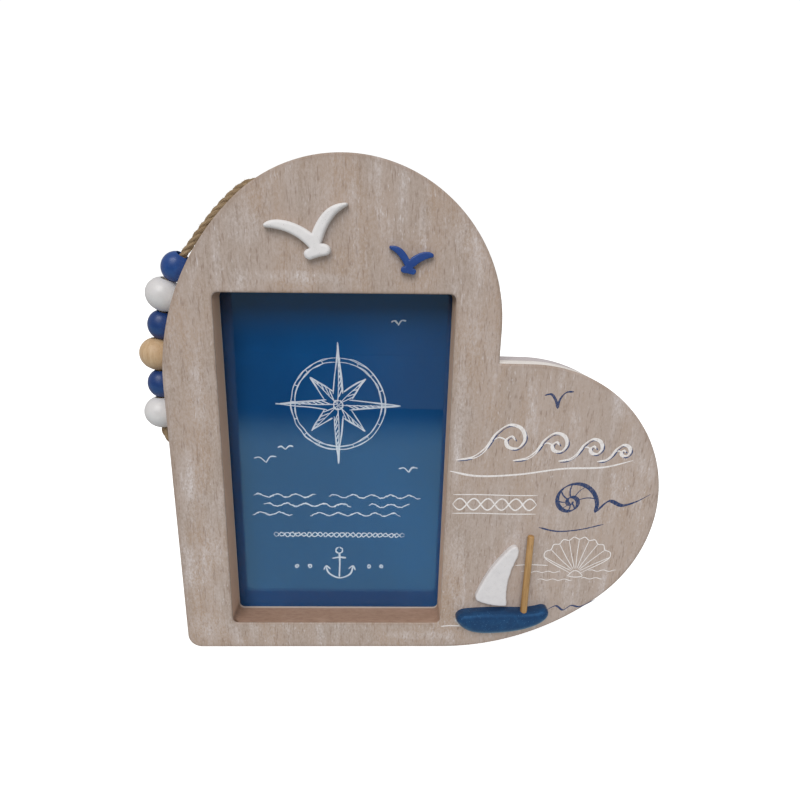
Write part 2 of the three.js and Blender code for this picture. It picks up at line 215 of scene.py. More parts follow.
class Paint(Graph):
    """A material's nodes, with its patterns laid out in millimetres."""

    def __init__(self, name: str, own: str = "") -> None:
        """Start a material.

        Args:
            name: the material's name.
            own: the piece's own place attribute, in metres, instead of Object coordinates.
        """
        self.material = bpy.data.materials.new(name)
        self.material.use_nodes = True
        super().__init__(self.material.node_tree)
        self.tree.nodes.clear()
        if own:
            self.place = self.node("ShaderNodeAttribute", {"attribute_name": own}, out="Vector")
        else:
            self.place = self.node("ShaderNodeTexCoord", out="Object")

    def coords(self, scale: Sequence[float] = (1, 1, 1), shift: Sequence[float] = (0, 0, 0)) -> Sock:
        """Give the place in scaled millimetres."""
        return self.node("ShaderNodeMapping", {}, {
            "Vector": self.place, "Location": shift, "Scale": [part / MM for part in scale]})

    def axes(self) -> tuple[Sock, Sock, Sock]:
        """Give x, y and z in millimetres."""
        split = self.node("ShaderNodeSeparateXYZ", {}, {0: self.coords()})
        return split, split.other(1), split.other(2)

    def distance(self, spot: Sequence[float]) -> Sock:
        """Measure from a point, in millimetres."""
        return self.node("ShaderNodeVectorMath", {"operation": "DISTANCE"},
                         {0: self.coords(), 1: spot}, "Value")

    def mark(self, name: str) -> Sock:
        """Read a number that the mesh carries."""
        return self.node("ShaderNodeAttribute", {"attribute_name": name}, out="Fac")

    def noise(self, scale: Sequence[float], detail: float = 2.0, rough: float = 0.5,
              shift: Sequence[float] = (0, 0, 0), warp: float = 0.0) -> Sock:
        """Add noise.

        Args:
            scale: waves per millimetre along x, y and z.
            detail: how many finer octaves it has.
            rough: how strong these are.
            shift: where the pattern starts.
            warp: how much it twists.

        Returns:
            A value about 0.5.
        """
        return self.node("ShaderNodeTexNoise", {}, {
            "Vector": self.coords(scale, shift), "Scale": 1.0, "Detail": detail,
            "Roughness": rough, "Distortion": warp})

    def mix(self, amount: Sock | float, first: Value, second: Value) -> Sock:
        """Blend two colours."""
        return self.node("ShaderNodeMix", {"data_type": "RGBA"}, {0: amount, 6: first, 7: second}, 2)

    def finish(self, colour: Value, roughness: Value, height: Sock | None = None, relief: float = 0.1,
               **fixed: Value) -> bpy.types.Material:
        """End the material in one surface.

        Args:
            colour: the base colour.
            roughness: the roughness.
            height: the surface's relief, from 0 to 1.
            relief: how high 1 is, in millimetres.
            fixed: other inputs, with _ for a space.

        Returns:
            The material.
        """
        sockets = {"Base Color": colour, "Roughness": roughness}
        sockets |= {name.replace("_", " "): value for name, value in fixed.items()}
        if height is not None:
            sockets["Normal"] = self.node("ShaderNodeBump", {}, {
                "Strength": 1.0, "Distance": relief * MM, "Height": height})
        surface = self.node("ShaderNodeBsdfPrincipled", {}, sockets)
        self.node("ShaderNodeOutputMaterial", {}, {"Surface": surface})
        return self.material


class Tree(Graph):
    """A Geometry Nodes tree that is run once on one mesh."""

    SOCKETS = {float: "NodeSocketFloat", int: "NodeSocketInt",
               bpy.types.Material: "NodeSocketMaterial", bpy.types.Object: "NodeSocketObject"}

    def __init__(self, name: str, **inputs: object) -> None:
        """Start a tree.

        Args:
            name: the tree's name.
            inputs: its named sizes, with the values that they have here.
        """
        super().__init__(bpy.data.node_groups.new(name, "GeometryNodeTree"))
        for way in ("INPUT", "OUTPUT"):
            self.tree.interface.new_socket("Geometry", in_out=way, socket_type="NodeSocketGeometry")
        self.values: dict[str, object] = {}
        for label, value in inputs.items():
            kind = self.SOCKETS[type(value)]
            socket = self.tree.interface.new_socket(label, in_out="INPUT", socket_type=kind)
            self.values[socket.identifier] = value
        self.start = self.node("NodeGroupInput")

    def given(self, name: str) -> Sock:
        """Give one of the named inputs."""
        return self.start.other(name)

    def field(self, name: str, kind: str = "FLOAT") -> Sock:
        """Read a value that the mesh carries."""
        return self.node("GeometryNodeInputNamedAttribute", {"data_type": kind}, {"Name": name})

    def vector(self, operation: str, first: Value, second: Value) -> Sock:
        """Add a Vector Math node, whose second value is a factor for SCALE."""
        sockets = {0: first, (3 if operation == "SCALE" else 1): second}
        return self.node("ShaderNodeVectorMath", {"operation": operation}, sockets)

    def random(self, low: Value, high: Value) -> Sock:
        """Draw a number or a vector for each point, by the tree's seed.

        Args:
            low: the least number or vector.
            high: the greatest one.

        Returns:
            The draw.
        """
        flat = isinstance(low, float)
        return self.node("FunctionNodeRandomValue", {"data_type": "FLOAT" if flat else "FLOAT_VECTOR"}, {
            (2 if flat else 0): low, (3 if flat else 1): high, 8: self.given("Seed")}, int(flat))

    def store(self, shape: Sock, name: str, value: Value) -> Sock:
        """Store a number on each point."""
        return self.node("GeometryNodeStoreNamedAttribute", {"data_type": "FLOAT", "domain": "POINT"}, {
            "Geometry": shape, "Name": name, "Value": value})

    def join(self, *shapes: Sock) -> Sock:
        """Join shapes into one.

        Args:
            shapes: the shapes.

        Returns:
            The joined shape.
        """
        joined = self.node("GeometryNodeJoinGeometry")
        for shape in shapes:
            self.tree.links.new(shape.socket, joined.socket.node.inputs[0])
        return joined

    def run(self, host: bpy.types.Object, shape: Sock, material: Sock) -> bpy.types.Mesh:
        """End the tree and turn its result into a plain mesh.

        Args:
            host: the mesh object that it starts from, which is used up.
            shape: the geometry that it ends in.
            material: the material's input.

        Returns:
            The mesh.
        """
        real = self.node("GeometryNodeRealizeInstances", {}, {0: shape})
        dressed = self.node("GeometryNodeSetMaterial", {}, {"Geometry": real, "Material": material})
        self.node("NodeGroupOutput", {}, {0: dressed})
        modifier = host.modifiers.new("nodes", "NODES")
        modifier.node_group = self.tree
        for identifier, value in self.values.items():
            modifier[identifier] = value
        depsgraph = bpy.context.evaluated_depsgraph_get()
        mesh = bpy.data.meshes.new_from_object(
            host.evaluated_get(depsgraph), preserve_all_data_layers=True, depsgraph=depsgraph)
        host.modifiers.remove(modifier)
        bpy.data.objects.remove(host)
        bpy.data.node_groups.remove(self.tree)
        return mesh


# Finishes


@dataclass(frozen=True)
class LimedWood:
    """Upright grain rubbed with lime, as on the block's face."""

    bare: Colour = rgb(168, 148, 134)
    tan: Colour = rgb(165, 140, 119)
    grey: Colour = rgb(158, 141, 128)
    pale: Colour = rgb(181, 165, 155)
    pore: Colour = rgb(132, 109, 94)
    lime: Colour = rgb(214, 207, 206)
    arris: Colour = rgb(138, 116, 100)
    # where more lime was left: middle, half width and half height
    smears: tuple[Sides, ...] = (
        (-50, 166.4, 22, 3.2), (-92, 119, 4.5, 17), (-98, 84, 5, 15), (-97, 43, 6, 14), (2, 6.6, 22, 3),
        (14.6, 112, 2.4, 44), (17, 50, 4, 16), (19, 178, 5, 14), (-70, 184, 9, 9), (84, 124, 8, 15),
        (-95, 11, 10, 9))

    def streaks(self, paint: Paint) -> Sock:
        """Give the fine upright grain."""
        return paint.noise((1.5, 0.4, 0.85), 2.0, 0.7)

    def limed(self, paint: Paint) -> Sock:
        """Give where lime stays: soft patches and smears that the grain breaks up, and a few sharp flecks.

        Args:
            paint: the material's nodes.

        Returns:
            How much lime stays, from 0 to 1.
        """
        haze = paint.noise((0.2, 0.3, 0.045), 3.0, 0.6, (37, 11, 5)).ease(0.44, 0.76)
        patches = paint.noise((0.035, 0.1, 0.02), 2.0, 0.5, (4, 9, 2)).ease(0.34, 0.64, 0.3, 1.0)
        broken = self.streaks(paint).ease(0.3, 0.66, 0.3, 1.0)
        flecks = paint.noise((1.5, 0.5, 0.36), 1.0, 0.5, (12, 2, 9)).ease(0.66, 0.78)
        across, _, height = paint.axes()
        spots = []
        for x, z, wide, tall in self.smears:
            sideways, upward = (across - x) / wide, (height - z) / tall
            spots.append(1 - (sideways * sideways + upward * upward).ease(0.1, 1.0))
        left = reduce(Sock.most, spots)
        thick = patches.most(left * 0.9)
        return (haze * thick * broken * 0.7 + flecks * thick * 0.7 + left * broken * 0.28).least(1.0)

    def tone(self, paint: Paint, limed: Sock) -> Sock:
        """Give the wood's colour.

        Args:
            paint: the material's nodes.
            limed: how much lime stays.

        Returns:
            The colour.
        """
        drift = paint.noise((0.14, 0.1, 0.028), 3.0, 0.55, (8, 1, 3)).ease(0.32, 0.68)
        tint = paint.noise((0.05, 0.1, 0.025), 2.0, 0.5, (1, 4, 8)).ease(0.36, 0.64)
        across, _, _ = paint.axes()
        drift = drift * 0.4 + across.ease(12, 40) * 0.3
        wood = paint.mix(drift, paint.mix(tint, self.tan, self.grey), self.pale)
        grain = paint.noise((1.1, 0.4, 0.05), 2.0, 0.6, (6, 3, 2)).ease(0.35, 0.65)
        wood = paint.mix(self.streaks(paint).ease(0.3, 0.7) * 0.68 + grain * 0.26, wood, self.pale)
        pores = paint.noise((1.6, 0.4, 0.22), 2.0, 0.6, (3, 7, 19)).ease(0.54, 0.74)
        wood = paint.mix(pores * 0.62, wood, self.pore)
        return paint.mix(limed * 0.8, wood, self.lime)

    def material(self) -> bpy.types.Material:
        """Make the material.

        Returns:
            The material.
        """
        paint = Paint("limed_wood")
        limed = self.limed(paint)
        edge = paint.mark("arris") * paint.noise((0.12, 0.12, 0.12), 3.0).ease(0.3, 0.6, 0.35, 1.0)
        colour = paint.mix(edge * 0.35, self.tone(paint, limed), self.arris)
        height = self.streaks(paint) * 0.6 + limed * 0.4
        return paint.finish(colour, 0.72 + limed * 0.12, height, 0.12, Specular_IOR_Level=0.3)


@dataclass(frozen=True)
class WashedRim:
    """The block's rim: two glued layers under a thin cream wash, with painted shade where the twine goes into
    it.
    """

    front: Colour = rgb(240, 234, 229)
    rear: Colour = rgb(205, 196, 197)
    joint: Colour = rgb(164, 150, 142)
    brushed: Colour = rgb(186, 170, 158)
    worn: Colour = rgb(172, 150, 132)
    # painted shade: the dark inside of the twine's holes, which are not cut
    hole: Colour = rgb(48, 34, 24)
    seam: float = -0.6

    def material(self) -> bpy.types.Material:
        """Make the material.

        Returns:
            The material.
        """
        paint = Paint("washed_rim")
        _, depth, _ = paint.axes()
        wander = paint.noise((0.05, 0.05, 0.05), 2.0) - 0.5
        level = depth - self.seam + wander * 0.8
        brushed = paint.noise((0.06, 1.5, 0.06), 3.0, 0.6)
        worn = paint.noise((0.16, 0.5, 0.16), 4.0, 0.65, (3, 5, 1)).ease(0.6, 0.78)
        wash = paint.mix(level.ease(-0.35, 0.35), self.front, self.rear)
        wash = paint.mix(brushed.ease(0.45, 0.72) * 0.35, wash, self.brushed)
        wash = paint.mix(worn * 0.4, wash, self.worn)
        seam = 1 - abs(level).ease(0.12, 0.42)
        colour = paint.mix(seam * 0.6, wash, self.joint)
        # painted shade: a dark spot at each place where the twine goes into the rim stands in for the shade
        # inside its hole
        away = reduce(Sock.least, [paint.distance(spot / MM) for spot in BeadString().holes()])
        holes = 1 - away.ease(1.6, 2.3)
        colour = paint.mix(holes * 0.9, colour, self.hole)
        return paint.finish(colour, 0.68 + brushed * 0.15, brushed * 0.7 - seam * 0.3, 0.1,
                            Specular_IOR_Level=0.35)


@dataclass(frozen=True)
class RawWood:
    """Sawn board without paint, with fibres, layers and rubbed lighter places; in a window, its upright walls
    are painted lighter, partly lime wash spilt onto them and partly painted light standing in for the bounce
    light they get, with a paler strip along the glass and a dark chip.
    """

    name: str
    base: Colour
    dark: Colour
    light: Colour
    window: bool = False
    # partly lime wash, partly painted light: the upright walls' lighter colour stands in for the bounce light
    # they get
    upright: Colour = rgb(221, 187, 163)
    lip: Colour = rgb(214, 204, 196)
    chip: Colour = rgb(92, 66, 50)
    chip_at: Spot = (-82.9, -10.4, 13.4)

    def material(self) -> bpy.types.Material:
        """Make the material.

        Returns:
            The material.
        """
        paint = Paint(self.name)
        fibres = paint.noise((0.35, 0.9, 0.35), 4.0, 0.65, (1, 2, 3))
        layers = paint.noise((0.05, 1.1, 0.05), 2.0, 0.5, (5, 2, 6))
        rubbed = paint.noise((0.11, 0.2, 0.11), 3.0, 0.6, (9, 2, 4))
        colour = paint.mix(fibres.ease(0.35, 0.7) * 0.7, self.base, self.dark)
        colour = paint.mix(layers.ease(0.45, 0.75) * 0.35, colour, self.dark)
        colour = paint.mix(rubbed.ease(0.5, 0.75) * 0.55, colour, self.light)
        if self.window:
            _, depth, height = paint.axes()
            # partly lime wash, partly painted light: the upright walls are made lighter for the bounce light
            # that reaches them
            upright = height.ease(14, 18) * (1 - height.ease(156, 160))
            colour = paint.mix(upright * (0.9 - rubbed * 0.3), colour, self.upright)
            lip = depth.ease(0.9, 1.4) * (1 - height.ease(150, 158))
            colour = paint.mix(lip * 0.6, colour, self.lip)
            ragged = paint.noise((0.7, 0.7, 0.7), 2.0) * 2
            chip = 1 - (paint.distance(self.chip_at) + ragged).ease(1.6, 2.8)
            colour = paint.mix(chip * 0.75, colour, self.chip)
        return paint.finish(colour, 0.82 - rubbed * 0.1, fibres, 0.14, Specular_IOR_Level=0.2)


class Gloss(Enum):
    """How a paint dries: roughness, clear coat, height of its waves in millimetres and specular level."""

    THICK = (0.32, 0.03, 0.34, 0.48)
    SATIN = (0.4, 0.18, 0.06, 0.4)
    MATTE = (0.62, 0.0, 0.12, 0.5)


@dataclass(frozen=True)
class Enamel:
    """Brushed or dipped paint of one colour, with specks: dust and flecks on most paints, painted glints on
    the hull's paint.
    """

    name: str
    colour: Colour
    thin: Colour
    gloss: Gloss
    speck_and_glint: Colour
    specks_and_glints: float = 0.0
    own: str = ""
    sheen: Colour = WHITE

    def material(self) -> bpy.types.Material:
        """Make the material.

        Returns:
            The material.
        """
        rough, coat, waves, shine = self.gloss.value
        paint = Paint(self.name, self.own)
        pooled = paint.noise((0.3, 0.3, 0.3), 3.0, 0.5, (2, 8, 4))
        fine = paint.noise((1.6, 1.6, 1.6), 2.0, 0.5, (6, 3, 7))
        # specks of a second colour: dust and flecks on most paints, painted glints on the hull's paint
        dots = paint.noise((2.4, 2.4, 2.4), 1.0, 0.4, (3, 9, 5)).ease(0.68, 0.76)
        colour = paint.mix(pooled.ease(0.4, 0.75) * 0.6, self.colour, self.thin)
        colour = paint.mix(dots * self.specks_and_glints, colour, self.speck_and_glint)
        return paint.finish(colour, rough + (fine - 0.5) * 0.2, pooled + fine * 0.12, waves,
                            Specular_IOR_Level=shine, Specular_Tint=self.sheen,
                            Coat_Weight=coat, Coat_Roughness=0.18)


@dataclass(frozen=True)
class TurnedWood:
    """Fine straight grain along a turned piece, sealed but not painted."""

    name: str
    base: Colour
    line: Colour
    pale: Colour
    own: str = ""

    def material(self) -> bpy.types.Material:
        """Make the material.

        Returns:
            The material.
        """
        paint = Paint(self.name, self.own)
        rings = paint.noise((0.55, 0.55, 0.05), 2.0, 0.5, (4, 1, 6), 0.4)
        pores = paint.noise((2.2, 2.2, 0.16), 2.0, 0.6, (1, 5, 2))
        colour = paint.mix(rings.ease(0.42, 0.6) * 0.75, self.base, self.pale)
        colour = paint.mix(pores.ease(0.55, 0.72) * 0.55, colour, self.line)
        return paint.finish(colour, 0.46 + pores * 0.15, pores, 0.05, Coat_Weight=0.1, Coat_Roughness=0.3)


@dataclass(frozen=True)
class Ink:
    """Printed ink, thinner where the ground's own grain stands up."""

    name: str
    colour: Colour
    ground: LimedWood | None = None
    wear: float = 0.35
    thin: Colour = rgb(96, 130, 172)

    def material(self) -> bpy.types.Material:
        """Make the material.

        Returns:
            The material.
        """
        paint = Paint(self.name)
        patchy = paint.noise((0.5, 0.5, 0.5), 3.0, 0.6, (5, 5, 1))
        if self.ground:
            worn = self.ground.streaks(paint).ease(0.42, 0.7) * self.wear
            colour = paint.mix(worn, self.colour, self.ground.bare)
        else:
            colour = paint.mix(patchy.ease(0.4, 0.8) * self.wear, self.colour, self.thin)
        return paint.finish(colour, 0.6 + patchy * 0.15, patchy, 0.02, Specular_IOR_Level=0.3)


@dataclass(frozen=True)
class BlueCard:
    """A printed insert card: an even deep blue, with a fine paper tooth."""

    base: Colour = rgb(18, 67, 114)
    deep: Colour = rgb(15, 58, 101)
    fibre: Colour = rgb(44, 98, 150)

    def material(self) -> bpy.types.Material:
        """Make the material.

        Returns:
            The material.
        """
        paint = Paint("blue_card")
        cloud = paint.noise((0.018, 0.1, 0.012), 2.0, 0.5, (2, 1, 7))
        tooth = paint.noise((3.0, 3.0, 3.0), 1.0)
        colour = paint.mix(cloud.ease(0.35, 0.7), self.base, self.deep)
        colour = paint.mix(tooth.ease(0.4, 0.7) * 0.04, colour, self.fibre)
        return paint.finish(colour, 0.5 + tooth * 0.08, Specular_IOR_Level=0.02)


@dataclass(frozen=True)
class WindowGlass:
    """Clear float glass with faint wiping marks."""

    def material(self) -> bpy.types.Material:
        """Make the material.

        Returns:
            The material.
        """
        paint = Paint("window_glass")
        wiped = paint.noise((0.02, 0.1, 0.05), 3.0, 0.6, (3, 1, 2), 0.6)
        return paint.finish((0.93, 0.97, 0.96, 1), wiped.ease(0.5, 0.8) * 0.025,
                            Transmission_Weight=1.0, IOR=1.46)


@dataclass(frozen=True)
class Fibreboard:
    """Pressed brown board with flecks of fibre."""

    def material(self) -> bpy.types.Material:
        """Make the material.

        Returns:
            The material.
        """
        paint = Paint("fibreboard")
        fibres = paint.noise((0.9, 0.5, 0.35), 4.0, 0.7, (1, 1, 1), 0.8)
        clouds = paint.noise((0.05, 0.05, 0.05), 3.0, 0.5)
        colour = paint.mix(clouds.ease(0.3, 0.7), rgb(118, 84, 56), rgb(138, 101, 70))
        colour = paint.mix(fibres.ease(0.52, 0.72) * 0.7, colour, rgb(84, 56, 36))
        colour = paint.mix(fibres.ease(0.24, 0.4, 1.0, 0.0) * 0.5, colour, rgb(176, 142, 104))
        return paint.finish(colour, 0.6 + fibres * 0.2, fibres, 0.06, Specular_IOR_Level=0.35)


@dataclass(frozen=True)
class Brass:
    """Stamped brass, rubbed along its length and dull in places."""

    def material(self) -> bpy.types.Material:
        """Make the material.

        Returns:
            The material.
        """
        paint = Paint("stamped_brass")
        scratches = paint.noise((0.25, 1.0, 3.0), 3.0, 0.6)
        tarnish = paint.noise((0.3, 0.3, 0.3), 4.0, 0.65, (2, 4, 6)).ease(0.45, 0.75)
        colour = paint.mix(tarnish * 0.7, rgb(214, 176, 104), rgb(142, 108, 58))
        return paint.finish(colour, 0.24 + tarnish * 0.25 + (scratches - 0.5) * 0.15, scratches, 0.02,
                            Metallic=1.0)


@dataclass(frozen=True)
class Jute:
    """Loose brown bast fibres, laid along each ply."""

    def material(self) -> bpy.types.Material:
        """Make the material.

        Returns:
            The material.
        """
        paint = Paint("jute")
        along, around = paint.mark("along"), paint.mark("around")
        lay = paint.node("ShaderNodeCombineXYZ", {}, {0: along * 180 + around * 5, 1: around * 22, 2: 0.0})
        fibres = paint.node("ShaderNodeTexNoise", {}, {
            "Vector": lay, "Scale": 1.0, "Detail": 3.0, "Roughness": 0.6})
        patches = paint.noise((0.25, 0.25, 0.25), 2.0)
        colour = paint.mix(fibres.ease(0.3, 0.7), rgb(112, 90, 68), rgb(178, 156, 124))
        colour = paint.mix(patches.ease(0.4, 0.7) * 0.45, colour, rgb(128, 104, 78))
        return paint.finish(colour, 0.88, fibres, 0.16, Specular_IOR_Level=0.15)


@dataclass(frozen=True)
class DriedGlue:
    """Whitish glue that was pressed out and left."""

    def material(self) -> bpy.types.Material:
        """Make the material.

        Returns:
            The material.
        """
        paint = Paint("dried_glue")
        cloudy = paint.noise((0.8, 0.8, 0.8), 3.0)
        colour = paint.mix(cloudy.ease(0.3, 0.7), rgb(206, 203, 198), rgb(176, 172, 170))
        return paint.finish(colour, 0.3 + cloudy * 0.2, cloudy, 0.1)


# Meshes


def between(start: Flat, end: Flat, share: float) -> Flat:
    """Give the flat point at a share of the way."""
    return start[0] + (end[0] - start[0]) * share, start[1] + (end[1] - start[1]) * share


def clock(middle: Flat, radius: float, steps: int) -> list[Flat]:
    """Give a closed circle's points, clockwise from the top."""
    return [polar(middle, radius, QUARTER - TURN * i / steps) for i in range(steps + 1)]


def strayed(points: Sequence[Flat], hand: random.Random, slip: float) -> list[Flat]:
    """Move each flat point a little to both sides, as a hand does."""
    return [(x + hand.uniform(-slip, slip), z + hand.uniform(-slip, slip)) for x, z in points]


def inside(points: np.ndarray, loops: Sequence[np.ndarray]) -> np.ndarray:
    """Tell which flat points lie within an odd number of closed loops.

    Args:
        points: flat points.
        loops: closed loops of flat points.

    Returns:
        True for each point that is inside.
    """
    odd = np.zeros(len(points), bool)
    for loop in loops:
        for (ax, ay), (bx, by) in zip(loop, np.roll(loop, -1, axis=0)):
            if ay != by:
                crossed = (ay > points[:, 1]) != (by > points[:, 1])
                odd ^= crossed & (points[:, 0] < ax + (points[:, 1] - ay) * (bx - ax) / (by - ay))
    return odd


def to_edge(points: np.ndarray, loop: np.ndarray) -> np.ndarray:
    """Measure from flat points to a closed loop.

    Args:
        points: flat points.
        loop: the loop's points.

    Returns:
        Each point's distance.
    """
    start, span = loop, np.roll(loop, -1, axis=0) - loop
    away = points[:, None, :] - start[None]
    share = np.clip((away * span).sum(2) / np.maximum((span ** 2).sum(1), 1e-12), 0, 1)
    return np.sqrt(((away - share[..., None] * span) ** 2).sum(2)).min(1)


def even(loop: Sequence[Flat], step: float) -> np.ndarray:
    """Space a closed loop's points evenly.

    Args:
        loop: the loop's points.
        step: about how far apart they come out.

    Returns:
        The new points.
    """
    ring = np.vstack([np.array(loop), loop[:1]])
    gone = np.concatenate([[0], np.cumsum(np.hypot(*np.diff(ring, axis=0).T))])
    at = np.linspace(0, gone[-1], max(8, round(gone[-1] / step)), endpoint=False)
    return np.stack([np.interp(at, gone, ring[:, 0]), np.interp(at, gone, ring[:, 1])], 1)


def traced(path: Path, steps: int = 14) -> list[Flat]:
    """Follow an outline of curve segments.

    Args:
        path: its first point, then each curve's handles and end, two or three points in one row.
        steps: points for each curve.

    Returns:
        The outline's points.
    """
    points = [np.array(path[0], float)]
    for row in path[1:]:
        handles = [points[-1], *np.array(row, float).reshape(-1, 2)]
        for share in np.linspace(0, 1, steps + 1)[1:]:
            level = handles
            while len(level) > 1:
                level = [a + (b - a) * share for a, b in zip(level, level[1:])]
            points.append(level[0])
    return [tuple(point) for point in points[:-1]]


def smooth(points: Sequence[Sequence[float]], step: float) -> list[Vector]:
    """Lay a smooth line through points, evenly tight on long and short runs.

    Args:
        points: the points that it passes.
        step: about how far apart the line's own points are.

    Returns:
        The line's points.
    """
    knots = [Vector(point) for point in points]
    knots = [2 * knots[0] - knots[1], *knots, 2 * knots[-1] - knots[-2]]
    line = [knots[1]]
    for before, start, end, after in zip(knots, knots[1:], knots[2:], knots[3:]):
        a, b, c = (max(gap.length ** 0.5, 1e-4) for gap in (start - before, end - start, after - end))
        lead = ((start - before) / a - (end - before) / (a + b) + (end - start) / b) * b
        tail = ((end - start) / b - (after - start) / (b + c) + (after - end) / c) * b
        count = max(2, math.ceil((end - start).length / step))
        for index in range(1, count + 1):
            t = index / count
            line.append(start * (2 * t ** 3 - 3 * t * t + 1) + lead * (t ** 3 - 2 * t * t + t)
                        + end * (3 * t * t - 2 * t ** 3) + tail * (t ** 3 - t * t))
    return line


def wave(start: float, end: float, level: float, swing: float, length: float,
         phase: float = 0.0) -> list[Flat]:
    """Draw a level wave line.

    Args:
        start: where it begins.
        end: where it ends.
        level: its middle height.
        swing: how far it rises and falls.
        length: one wave's length.
        phase: where the first wave starts, in turns.

    Returns:
        The line's points.
    """
    run = abs(end - start)
    count = max(4, round(run / length * 12))
    return [(start + (end - start) * i / count,
             level + swing * math.sin(TURN * (phase + run * i / count / length))) for i in range(count + 1)]


class Shell:
    """A mesh made of rings, strips and flat caps, in millimetres."""

    def __init__(self, name: str) -> None:
        """Start an empty shell.

        Args:
            name: the piece's name.
        """
        self.name = name
        self.points: list[Vector] = []
        self.own: list[Vector] = []
        self.marks: list[float] = []
        self.faces: list[tuple[int, ...]] = []
        self.slots: list[int] = []

    def ring(self, points: Sequence[Sequence[float]], mark: float = 0.0) -> list[int]:
        """Add points.

        Args:
            points: the points.
            mark: how much of the arris they show.

        Returns:
            Their numbers.
        """
        first = len(self.points)
        added = [Vector(point) for point in points]
        self.points += added
        self.own += added
        self.marks += [mark] * len(added)
        return list(range(first, len(self.points)))

    def loft(self, rings: Sequence[list[int]], slot: int = 0) -> None:
        """Close the band from each ring to the next.

        Args:
            rings: the rings, each with as many points as the next.
            slot: the material slot.
        """
        for first, second in zip(rings, rings[1:]):
            for i, start in enumerate(first):
                j = (i + 1) % len(first)
                self.faces.append((start, first[j], second[j], second[i]))
                self.slots.append(slot)

    def cap(self, loops: list[list[int]], axes: tuple[int, int] = (0, 2), slot: int = 0,
            extra: Sequence[int] = ()) -> None:
        """Fill the flat area between loops.

        Args:
            loops: rings, outermost first.
            axes: the two axes of the area's plane.
            slot: the material slot.
            extra: more points within the area.
        """
        used, flat, edges, rings = [], [], [], []
        for loop in [*loops, list(extra)]:
            ring = [Vector((self.points[n][axes[0]], self.points[n][axes[1]])) for n in loop]
            if len(rings) < len(loops):
                edges += [(len(used) + i, len(used) + (i + 1) % len(loop)) for i in range(len(loop))]
                rings.append(np.array(ring))
            used += loop
            flat += ring
        found, _, triangles, origins, _, _ = delaunay_2d_cdt(flat, edges, [], 0, 1e-7)
        within = inside(np.array(found)[np.array(triangles)].mean(1), rings)
        for triangle, kept in zip(triangles, within):
            numbers = [used[origins[corner][0]] for corner in triangle if origins[corner]]
            if kept and len(set(numbers)) == 3:
                self.faces.append(tuple(numbers))
                self.slots.append(slot)

    def move(self, matrix: Matrix) -> "Shell":
        """Put the shell in place, keeping its own place beside it."""
        self.points = [matrix @ point for point in self.points]
        return self

    def piece(self, finishes: Sequence[bpy.types.Material], crease: float = 40.0) -> bpy.types.Object:
        """Make the object.

        Args:
            finishes: its materials by slot.
            crease: the sharpest turn that is shaded round, in degrees.

        Returns:
            The object, at the origin.
        """
        mesh = bpy.data.meshes.new(self.name)
        mesh.from_pydata([point * MM for point in self.points], [], self.faces)
        for material in finishes:
            mesh.materials.append(material)
        mesh.polygons.foreach_set("material_index", self.slots)
        mesh.attributes.new("arris", "FLOAT", "POINT").data.foreach_set("value", self.marks)
        flat = [part * MM for point in self.own for part in point]
        mesh.attributes.new(OWN, "FLOAT_VECTOR", "POINT").data.foreach_set("vector", flat)
        return finished(self.name, mesh, crease)


def placed(name: str, data: bpy.types.ID) -> bpy.types.Object:
    """Make an object and link it to the scene.

    Args:
        name: the object's name.
        data: the mesh, light or camera.

    Returns:
        The object.
    """
    made = bpy.data.objects.new(name, data)
    bpy.context.scene.collection.objects.link(made)
    return made


def finished(name: str, mesh: bpy.types.Mesh, crease: float = 40.0) -> bpy.types.Object:
    """Merge a mesh's doubles, turn its faces outwards, smooth it and make its object.

    Args:
        name: the object's name.
        mesh: the mesh.
        crease: the sharpest turn that is shaded round, in degrees.

    Returns:
        The object, at the origin.
    """
    work = bmesh.new()
    work.from_mesh(mesh)
    bmesh.ops.remove_doubles(work, verts=work.verts, dist=1e-6)
    bmesh.ops.recalc_face_normals(work, faces=work.faces)
    work.to_mesh(mesh)
    work.free()
    mesh.shade_smooth()
    mesh.set_sharp_from_angle(angle=math.radians(crease))
    mesh.name = name
    return placed(name, mesh)


def host(name: str, lines: Sequence[Sequence[Vector]], **marks: Sequence[float]) -> bpy.types.Object:
    """Make a mesh of open lines for a tree to start from.

    Args:
        name: its name.
        lines: the lines' points, in metres.
        marks: numbers for each point, by name.

    Returns:
        The object.
    """
    points = [point for line in lines for point in line]
    edges, at = [], 0
    for line in lines:
        edges += [(at + i, at + i + 1) for i in range(len(line) - 1)]
        at += len(line)
    mesh = bpy.data.meshes.new(name)
    mesh.from_pydata(points, edges, [])
    for label, values in marks.items():
        mesh.attributes.new(label, "FLOAT", "POINT").data.foreach_set("value", values)
    return placed(name, mesh)


def keep(piece: bpy.types.Object, body: str, slot: str, *nodes: str) -> bpy.types.Object:
    """Ride a piece on a body, hide the CAD nodes that it stands for, and report it.

    Args:
        piece: the finished piece.
        body: the body that carries it.
        slot: its material slot; not used.
        nodes: the CAD nodes that it stands for.

    Returns:
        The piece.
    """
    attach(piece, body)
    if nodes:
        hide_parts(*nodes)
    LOG.info("%s rides on %s, %d faces", piece.name, body, len(piece.data.polygons))
    return piece


# Sub-assemblies


